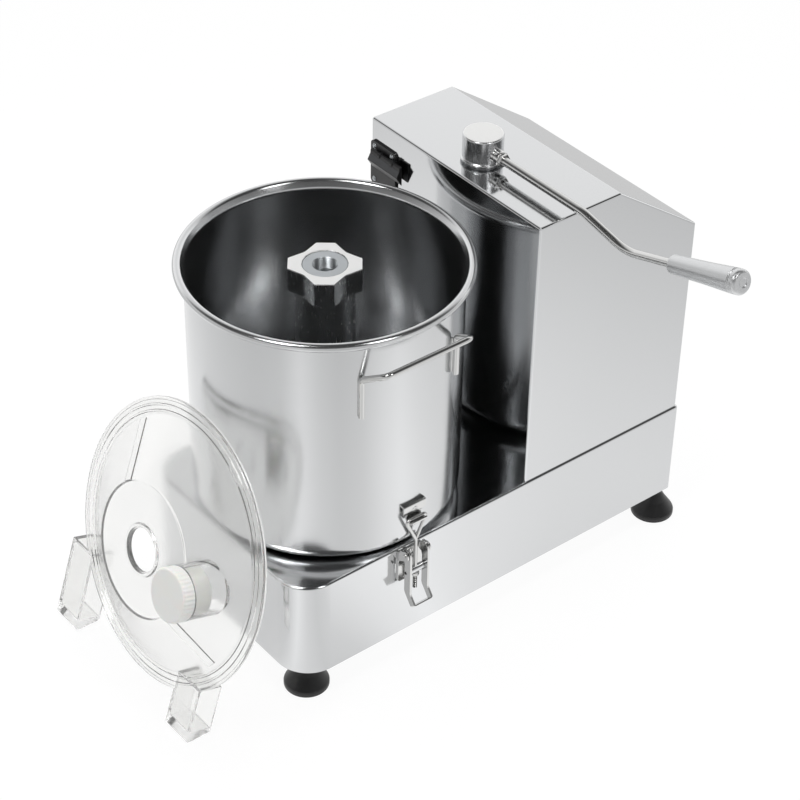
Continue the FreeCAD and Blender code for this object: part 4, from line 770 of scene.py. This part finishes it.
class CUTTER_OT_lever(bpy.types.Operator):
    """Turn the lever's cap and boss, bend its rod and turn its aluminium grip"""

    bl_idname = "cutter.lever"
    bl_label = "Lid Lever"

    def execute(self, context):
        cap = rounded([(8, 412.9), (20, 412.9, 0.7), (20, 414.4, 0.7), (18.6, 415.6, 0.8),
                       (18.5, 437.9, 1.6), (0, 437.9)], 6, closed=False)
        cap = [(0, 425.4), (8, 425.4)] + cap
        item = solid("lever_cap_turned", lathe(cap, 128, closed=False), ON_POST)
        dress(item, "lid_lever", ["satin_steel", "milled_painted_light"], ["lever_cap"])
        # The cap's upward top faces get the paler blasted finish: painted light on its top.
        for face in item.data.polygons:
            face.material_index = 1 if face.normal.z > 0.9 and face.center.z > 0.43 else 0
        out = [(4.05, 17), (7, 17), (7, 20.5, 0.3), (6.2, 20.5), (6.2, 21.1), (7, 21.1),
               (7, 26.5, 0.9), (4.05, 26.5)]
        boss = joined(lathe(rounded(out, 4), 64), prism(polygon(6, 6.4), 26.4, 29.6))
        sideways = Matrix.Rotation(math.radians(90), 4, "X")
        boss = moved(boss, Matrix.Translation((0, 0, ROD_HEIGHT)) @ sideways)
        item = solid("lever_boss_turned", boss, ON_POST)
        dress(item, "lid_lever", ["wire"], ["lever_boss"], edge=0.25)
        tilt = math.atan2(17, 241 - 186)
        far = (0, -241 - 22 * math.cos(tilt), 428.6 + 22 * math.sin(tilt))
        path = bent([(0, -9.25, ROD_HEIGHT), (0, -132, ROD_HEIGHT), (0, -186, 411.6), far], 55, 14)
        item = solid("lever_rod_bent", tube(path, 4, sizes().sides), ON_POST)
        dress(item, "lid_lever", ["wire"], ["lever_rod"])
        cut = sizes().groove * 1000
        grip = [(4, 0), (8.3, 0, 1.2), (9.4, 40, 60), (10.8, 70.5)]
        for place in (71.2, 72.6):
            grip += [(10.8, place), (10.8 - cut, place + 0.3), (10.8 - cut, place + 0.6),
                     (10.8, place + 0.9)]
        grip += [(10.8, 80, 3.6), (4.5, 80.0, 1.2), (3.6, 79.3, 0.8), (0, 79.3)]
        grip = [(0, 22), (4, 22)] + rounded(grip, 8, closed=False)
        turn = Matrix.Translation((0, -0.241, 0.4286)) @ Matrix.Rotation(math.pi / 2 - tilt, 4, "X")
        item = solid("lever_grip_turned", lathe(grip, 96, closed=False), ON_POST @ turn)
        dress(item, "lid_lever", ["cast_aluminium"], ["lever_grip"])
        return {"FINISHED"}


class CUTTER_OT_feet(bpy.types.Operator):
    """Mould the four bell-shaped rubber feet"""

    bl_idname = "cutter.feet"
    bl_label = "Feet"

    def execute(self, context):
        profile = rounded([(2.95, 15.5), (2.95, 34), (6.2, 34, 0.6), (7, 31), (7.2, 26.5, 4),
                           (12.5, 17.5, 8), (20.4, 6.2, 2.2), (21, 4.6, 1.5), (21, 1.2, 1.0),
                           (19.8, 0.02, 0.8), (14, 0.02), (12, 2), (0, 2), (0, 15.5)], 6,
                          closed=False)
        foot, shapes = lathe(profile, 96, closed=False), []
        for x, y in ((-94, 94.5), (323.5, 108.5)):
            for side in (-1, 1):
                shapes.append(moved(foot, Matrix.Translation((x, side * y, 0))))
        item = solid("rubber_feet", joined(*shapes), ON_SPINDLE)
        dress(item, "machine", ["black_rubber"], ["feet"])
        return {"FINISHED"}




# The latches. Their points are (distance out from the spindle, height, offset along X).


def on_side(side, shape):
    """A latch shape put on the right or the left side of the machine."""
    out = -1 if side == "right" else 1
    return moved(shape, Matrix(((0, 0, 1, LATCH_MIDDLE), (out, 0, 0, 0), (0, 1, 0, 0),
                                (0, 0, 0, 1))))


def ribbon(sections):
    """A strip through sections of the same number of points, closed at both ends."""
    count, points = len(sections[0]), [p for section in sections for p in section]
    faces = []
    for i in range(len(sections) - 1):
        for k in range(count):
            n = (k + 1) % count
            faces.append((i * count + k, i * count + n, (i + 1) * count + n, (i + 1) * count + k))
    last = (len(sections) - 1) * count
    return points, faces + [tuple(range(count))[::-1], tuple(range(last, last + count))]


def thick_line(line, thick):
    """Both faces of a bent sheet whose outer face runs along a line."""
    out = []
    for i, here in enumerate(line):
        back = Vector(line[max(i - 1, 0)])
        along = (Vector(line[min(i + 1, len(line) - 1)]) - back).normalized()
        out.append((tuple(here), (here[0] + along.y * thick, here[1] - along.x * thick)))
    return out


def lever_shape():
    """A strip bent to a U, whose arms kick outwards below and end in a bar."""
    (out, high), eye, edges = LATCH_PIVOT, 5.5, []
    for t in (84, 68, 52, 36, 18, 0):
        c, s = eye * math.cos(math.radians(t)), eye * math.sin(math.radians(t))
        edges.append(((out - c, high + s), (out + c, high + s)))
    inner = rounded([(126.3, 120), (126.3, 88, 7), (136.9, 73.9)], 5, closed=False)
    outer = rounded([(134.6, 120), (134.6, 88, 7), (141.6, 78.8)], 5, closed=False)
    edges += list(zip(inner, outer))
    (a, b), (c, d) = edges[-2:]
    reach = (Vector(c) - Vector(a)).length
    sections = [[(*inside, 11), (*outside, 11), (*outside, 8.8), (*inside, 8.8)]
                for inside, outside in edges[:-1]]
    for turn in range(0, 91, 15):
        s, k = math.sin(math.radians(turn)), math.cos(math.radians(turn))
        faces = []
        for radius in (3, 0.8):
            along = (reach - 3 + radius * s) / reach
            spots = [Vector(a).lerp(Vector(c), along), Vector(b).lerp(Vector(d), along)]
            faces.append([(*spot, 8 + radius * k) for spot in spots])
        sections.append(faces[0] + faces[1][::-1])
    other = [[(p[0], p[1], -p[2]) for p in section] for section in sections[::-1]]
    return ribbon(sections + other)


def bracket_shape():
    """A plate on the wall with two ears that hold the lever's pivot."""
    half, sheet = 13.3, 1.8
    back = rounded([(-half, 95, 3), (half, 95, 3), (half, 129.9), (-half, 129.9)], 5)
    plate = moved(prism(back, 118.6, 120.4), OUTWARD)
    ear = [(119.5, 120), (128.8, 125.6)] + arc(*LATCH_PIVOT, 5, -60, 128, 10)
    ear += [(122.6, 134.6), (122.6, 132), (119, 129.9)]
    heads = []
    for height in (126, 103.5):
        head = rounded([(2.7, 120.2), (2.6, 121.1, 0.7), (0, 121.6)], 4, closed=False)
        heads.append(moved(lathe([(0, 119), (2.7, 119)] + head, 32, closed=False),
                           Matrix.Translation((0, height, 0)) @ OUTWARD))
    return joined(plate, prism(ear, half - sheet, half), prism(ear, -half, sheet - half), *heads)


def bail_shape():
    """One wire: an upright with a threaded end, the crossbar's loop, and its end behind."""
    low, step, pitch = 88, 0.25, 0.9
    loop = bent([(WIRE_OUT, low, 0), (WIRE_OUT, 144, 0), (WIRE_OUT, 170, -12), (WIRE_OUT, 170, 12),
                 (126.6, 143, 0.6)], 3.2, 8)
    thread = [(WIRE_OUT, low + step * k, 0) for k in range(100)]
    radii = [1.9 + 0.22 * math.sin(k * math.tau * step / pitch) for k in range(100)]
    nut = moved(prism(polygon(6, 3.8, WIRE_OUT), 103.2, 106.2), UPRIGHT)
    return joined(tube(loop, 1.7, 16), tube(thread, radii, 16), nut)


def trunnion_shape():
    """The turned bar between the lever's arms, with a pin at each end."""
    line = rounded([(0, -11), (2, -11, 0.3), (2, -8.6), (3.4, -8.6, 0.5), (3.4, 8.6, 0.5), (2, 8.6),
                    (2, 11, 0.3), (0, 11)], 3, closed=False)
    return moved(lathe(line, 40, closed=False), Matrix.Translation((WIRE_OUT, 110, 0)))


def catch_shape():
    """A folded strip on the bowl, narrowed to a hook that holds the wire."""
    face = rounded([(121, 184.6), (125.9, 184.6, 2), (125.9, 175, 2.5), (124.2, 171.6, 1.5),
                    (124.2, 168.2, 1.4), (131.6, 168.2, 1.4), (131.6, 170.2)], 5, closed=False)
    pairs = thick_line(face, 1.8)
    sections = []
    for outer, inner in pairs:
        wide = 12.3 if outer[1] > 175.5 else 8.3
        sections.append([(*outer, wide), (*outer, -wide), (*inner, -wide), (*inner, wide)])
    rivet = lathe(rounded([(0, -1), (3, -1), (3, 0.2), (2.8, 0.9, 0.6), (1.1, 1.0, 0.3), (0.8, 0.5),
                           (0, 0.5)], 3, closed=False), 32, closed=False)
    return joined(ribbon(sections),
                  moved(rivet, Matrix.Translation((125.5, 178.2, 0)) @ OUTWARD))


class CUTTER_OT_latches(bpy.types.Operator):
    """Bend the latches: lever, bracket, wire, turned bar and the catch on the bowl"""

    bl_idname = "cutter.latches"
    bl_label = "Latches"

    def execute(self, context):
        for side in ("right", "left"):
            for name, made, shape, body, look, edge in (
                    ("latch_lever_", "bent_", lever_shape(), "latch_" + side, "wire", 0.25),
                    ("latch_bracket_", "folded_", bracket_shape(), "machine", "wire", 0.25),
                    ("latch_bail_", "bent_", bail_shape(), "bail_" + side, "wire", 0),
                    ("latch_trunnion_", "turned_", trunnion_shape(), "bail_" + side,
                     "satin_steel", 0),
                    ("bowl_catch_", "folded_", catch_shape(), "machine", "wire", 0.25)):
                item = solid(name + made + side, on_side(side, shape), ON_SPINDLE)
                dress(item, body, [look], [name + side], edge=edge)
        return {"FINISHED"}


class CUTTER_OT_hood(bpy.types.Operator):
    """Mould the switch's wedge-shaped finger hood"""

    bl_idname = "cutter.hood"
    bl_label = "Switch Hood"

    def execute(self, context):
        line = rounded([(137.4, 382.4), (134.5, 382.4, 1.4), (134.3, 378.6, 0.8), (131, 372.6, 1.2),
                        (136.9, 363.2, 0.8), (137.4, 363.2)], 4)
        item = solid("switch_hood_moulded", moved(prism(line, 67.2, 109.8), UPRIGHT), ON_SPINDLE)
        dress(item, "hood", ["black_plastic", "worn"], ["switch_hood"], edge=0.4)
        for face in item.data.polygons:
            face.material_index = 1 if face.normal.z > 0.3 and face.area > 0.0001 else 0
        return {"FINISHED"}
# The camera, solved from the photograph: its place, the direction behind it and its roll.
EYE = (-974.8, -1307.0, 1476.3)
EYE_BACK = (-0.4996, -0.6157, 0.6094)
EYE_ROLL = 1.101


class CUTTER_OT_stage(bpy.types.Operator):
    """Lay the pale floor, hang the soft lights and set the camera"""

    bl_idname = "cutter.stage"
    bl_label = "Floor, Light and Camera"

    def execute(self, context):
        scene, s = context.scene, context.scene.cutter_stage
        scene.view_settings.view_transform = "Standard"
        bpy.ops.mesh.primitive_grid_add(x_subdivisions=8, y_subdivisions=8, size=24)
        floor = context.object
        floor.name = "studio_floor"
        floor.data.materials.append(pale_floor(s.floor))
        studio_sky(scene)
        self.soft_light("key_light", (-1.12, -0.1, 2.12), (0, 0, 0.2), (0.6, 0.9), s.key)
        self.soft_light("fill_light", (0.2, -1.4, 1.94), (0, 0, 0.2), (0.5, 0.9), s.fill)
        top = self.soft_light("top_light", (0.1, 0.2, 2.6), (0, 0, 0), (1.8, 1.8), s.top)
        top.visible_glossy = False
        self.camera(scene, s.lens)
        return {"FINISHED"}

    def soft_light(self, name, place, target, size, power):
        data = bpy.data.lights.new(name, "AREA")
        data.shape, data.energy = "RECTANGLE", power
        data.size, data.size_y = size
        lamp = bpy.data.objects.new(name, data)
        bpy.context.scene.collection.objects.link(lamp)
        lamp.location = place
        lamp.rotation_euler = (Vector(target) - Vector(place)).to_track_quat("-Z", "Y").to_euler()
        return lamp

    def camera(self, scene, lens):
        back = Vector(EYE_BACK).normalized()
        right = Vector((0, 0, 1)).cross(back).normalized()
        up = back.cross(right)
        roll = math.radians(EYE_ROLL)
        across = right * math.cos(roll) + up * math.sin(roll)
        above = up * math.cos(roll) - right * math.sin(roll)
        data = bpy.data.cameras.new("camera")
        data.lens, data.sensor_width, data.clip_end = lens, 36, 50
        eye = bpy.data.objects.new("camera", data)
        scene.collection.objects.link(eye)
        eye.matrix_world = Matrix.Translation(at(*EYE)) @ Matrix(
            [(across[i], above[i], back[i], 0) for i in range(3)] + [(0, 0, 0, 1)])
        scene.camera = eye


# Grey levels that steel mirrors from the floor, by direction round the spindle as a share of a
# turn from -X: soft boxes and the gaps between them make broad upright bands on the bowl.
FLOOR_TONES = [(0.0, 0.66), (0.056, 0.70), (0.097, 0.92), (0.135, 0.74), (0.175, 0.66),
               (0.22, 0.72), (0.265, 0.90), (0.303, 1.0), (0.35, 0.88), (0.40, 0.80), (0.54, 0.74),
               (0.75, 0.84), (0.833, 0.82), (0.92, 0.72), (1.0, 0.66)]


# Grey levels of the room in front and of the wall behind, by height from level to overhead, and
# the level direction that looks away from the camera.
ROOM_TONES = [(0.0, 0.8), (0.1, 0.72), (0.3, 0.3), (0.45, 0.09), (0.7, 0.05), (1.0, 0.05)]
WALL_TONES = [(0.0, 1.0), (0.45, 0.96), (0.6, 0.8), (0.72, 0.7), (0.87, 0.3), (1.0, 0.08)]
AWAY = (0.629, 0.777, 0)


def tones(tree, source, stops):
    """Grey levels along a pattern from 0 to 1."""
    ramp = add(tree, "ShaderNodeValToRGB", Fac=source)
    ramp.color_ramp.elements[0].position, ramp.color_ramp.elements[1].position = 0.0, 1.0
    for place, level in stops[1:-1]:
        ramp.color_ramp.elements.new(place)
    for stop, (place, level) in zip(ramp.color_ramp.elements, stops):
        stop.position, stop.color = place, (level, level, level, 1)
    return ramp.outputs["Color"]


def straight_rays(tree):
    """The rays that come from the camera, straight or through the clear lid."""
    ray = add(tree, "ShaderNodeLightPath")
    seen = add(tree, "ShaderNodeMath", {"operation": "MAXIMUM"})
    tree.links.new(ray.outputs["Is Camera Ray"], seen.inputs[0])
    tree.links.new(ray.outputs["Is Transmission Ray"], seen.inputs[1])
    return ray, seen.outputs[0]


def pale_floor(tint):
    """Seamless studio paper: white to the camera, while it keeps a soft shadow of the object.
    Steel mirrors it a little greyer further out, where the light falls off."""
    material = bpy.data.materials.new("studio_paper")
    material.use_nodes = True
    tree = material.node_tree
    tree.nodes.clear()
    matt = add(tree, "ShaderNodeBsdfDiffuse", {"Color": (*tint, 1)})
    white = add(tree, "ShaderNodeEmission", {"Color": (1, 1, 1, 1), "Strength": 1.03})
    spot = add(tree, "ShaderNodeNewGeometry").outputs["Position"]
    axis = (SPINDLE.x, SPINDLE.y, 0)
    here = add(tree, "ShaderNodeVectorMath", {"operation": "SUBTRACT", 1: axis})
    tree.links.new(spot, here.inputs[0])
    reach = add(tree, "ShaderNodeVectorMath", {"operation": "LENGTH"})
    tree.links.new(here.outputs[0], reach.inputs[0])
    fall = add(tree, "ShaderNodeMapRange",
               {"From Min": 0.25, "From Max": 1.1, "To Min": 1.3, "To Max": 0.85,
                "interpolation_type": "SMOOTHSTEP"}, Value=reach.outputs["Value"])
    around = add(tree, "ShaderNodeTexGradient", {"gradient_type": "RADIAL"}, Vector=here.outputs[0])
    dim = add(tree, "ShaderNodeEmission", Color=tones(tree, around.outputs["Fac"], FLOOR_TONES),
              Strength=fall.outputs["Result"])
    ray, seen = straight_rays(tree)
    part = add(tree, "ShaderNodeMath", {"operation": "MULTIPLY", 1: 0.9})
    tree.links.new(seen, part.inputs[0])
    mirror = add(tree, "ShaderNodeMath", {"operation": "MULTIPLY", 1: 0.85})
    tree.links.new(ray.outputs["Is Glossy Ray"], mirror.inputs[0])
    inner = add(tree, "ShaderNodeMixShader", Fac=mirror.outputs[0])
    tree.links.new(matt.outputs[0], inner.inputs[1])
    tree.links.new(dim.outputs[0], inner.inputs[2])
    both = add(tree, "ShaderNodeMixShader", Fac=part.outputs[0])
    tree.links.new(inner.outputs[0], both.inputs[1])
    tree.links.new(white.outputs[0], both.inputs[2])
    add(tree, "ShaderNodeOutputMaterial", Surface=both.outputs[0])
    return material


def studio_sky(scene):
    """A white wall behind the set, and a dim room over it in front. Steel shows the wall as light
    grey and the room as dark grey; the camera sees plain white."""
    world = bpy.data.worlds.new("studio")
    scene.world = world
    world.use_nodes = True
    tree = world.node_tree
    tree.nodes.clear()
    here = add(tree, "ShaderNodeTexCoord").outputs["Generated"]
    height = add(tree, "ShaderNodeSeparateXYZ", Vector=here).outputs["Z"]
    behind = add(tree, "ShaderNodeVectorMath", {"operation": "DOT_PRODUCT", 1: AWAY})
    tree.links.new(here, behind.inputs[0])
    wall = add(tree, "ShaderNodeMapRange",
               {"From Min": 0.2, "From Max": 0.6, "interpolation_type": "SMOOTHSTEP"},
               Value=behind.outputs["Value"])
    tone = add(tree, "ShaderNodeMix", {"data_type": "RGBA"})
    tree.links.new(wall.outputs["Result"], tone.inputs["Factor"])
    tree.links.new(tones(tree, height, ROOM_TONES), tone.inputs[6])
    tree.links.new(tones(tree, height, WALL_TONES), tone.inputs[7])
    room = add(tree, "ShaderNodeBackground", {"Strength": 1.2}, Color=tone.outputs[2])
    white = add(tree, "ShaderNodeBackground", {"Color": (1, 1, 1, 1), "Strength": 1.0})
    both = add(tree, "ShaderNodeMixShader", Fac=straight_rays(tree)[1])
    tree.links.new(room.outputs[0], both.inputs[1])
    tree.links.new(white.outputs[0], both.inputs[2])
    add(tree, "ShaderNodeOutputWorld", Surface=both.outputs[0])


PIECES = (CUTTER_OT_carried_nodes, CUTTER_OT_bowl, CUTTER_OT_handles, CUTTER_OT_hub, CUTTER_OT_lid,
          CUTTER_OT_feed_cap, CUTTER_OT_lever, CUTTER_OT_feet, CUTTER_OT_latches,
          CUTTER_OT_hood, CUTTER_OT_stage)


class CUTTER_PT_looks(bpy.types.Panel):
    """Buttons for the pieces, the finishes and the studio of the bowl cutter"""

    bl_idname = "CUTTER_PT_looks"
    bl_label = "Bowl Cutter"
    bl_space_type = "VIEW_3D"
    bl_region_type = "UI"
    bl_category = "Bowl Cutter"

    def draw(self, context):
        for group in (context.scene.cutter_finish, context.scene.cutter_pieces,
                      context.scene.cutter_stage):
            column = self.layout.column()
            for key in group.bl_rna.properties.keys():
                if key not in ("rna_type", "name"):
                    column.prop(group, key)
        for one in PIECES:
            self.layout.operator(one.bl_idname)


CLASSES = (FinishSettings, PieceSettings, StageSettings, *PIECES, CUTTER_PT_looks)


def register():
    for one in CLASSES:
        bpy.utils.register_class(one)
    bpy.types.Scene.cutter_finish = PointerProperty(type=FinishSettings)
    bpy.types.Scene.cutter_pieces = PointerProperty(type=PieceSettings)
    bpy.types.Scene.cutter_stage = PointerProperty(type=StageSettings)


def unregister():
    del bpy.types.Scene.cutter_stage
    del bpy.types.Scene.cutter_pieces
    del bpy.types.Scene.cutter_finish
    for one in reversed(CLASSES):
        bpy.utils.unregister_class(one)


def main():
    register()
    for one in PIECES:
        group, name = one.bl_idname.split(".")
        getattr(getattr(bpy.ops, group), name)()


if __name__ == "__main__":
    main()
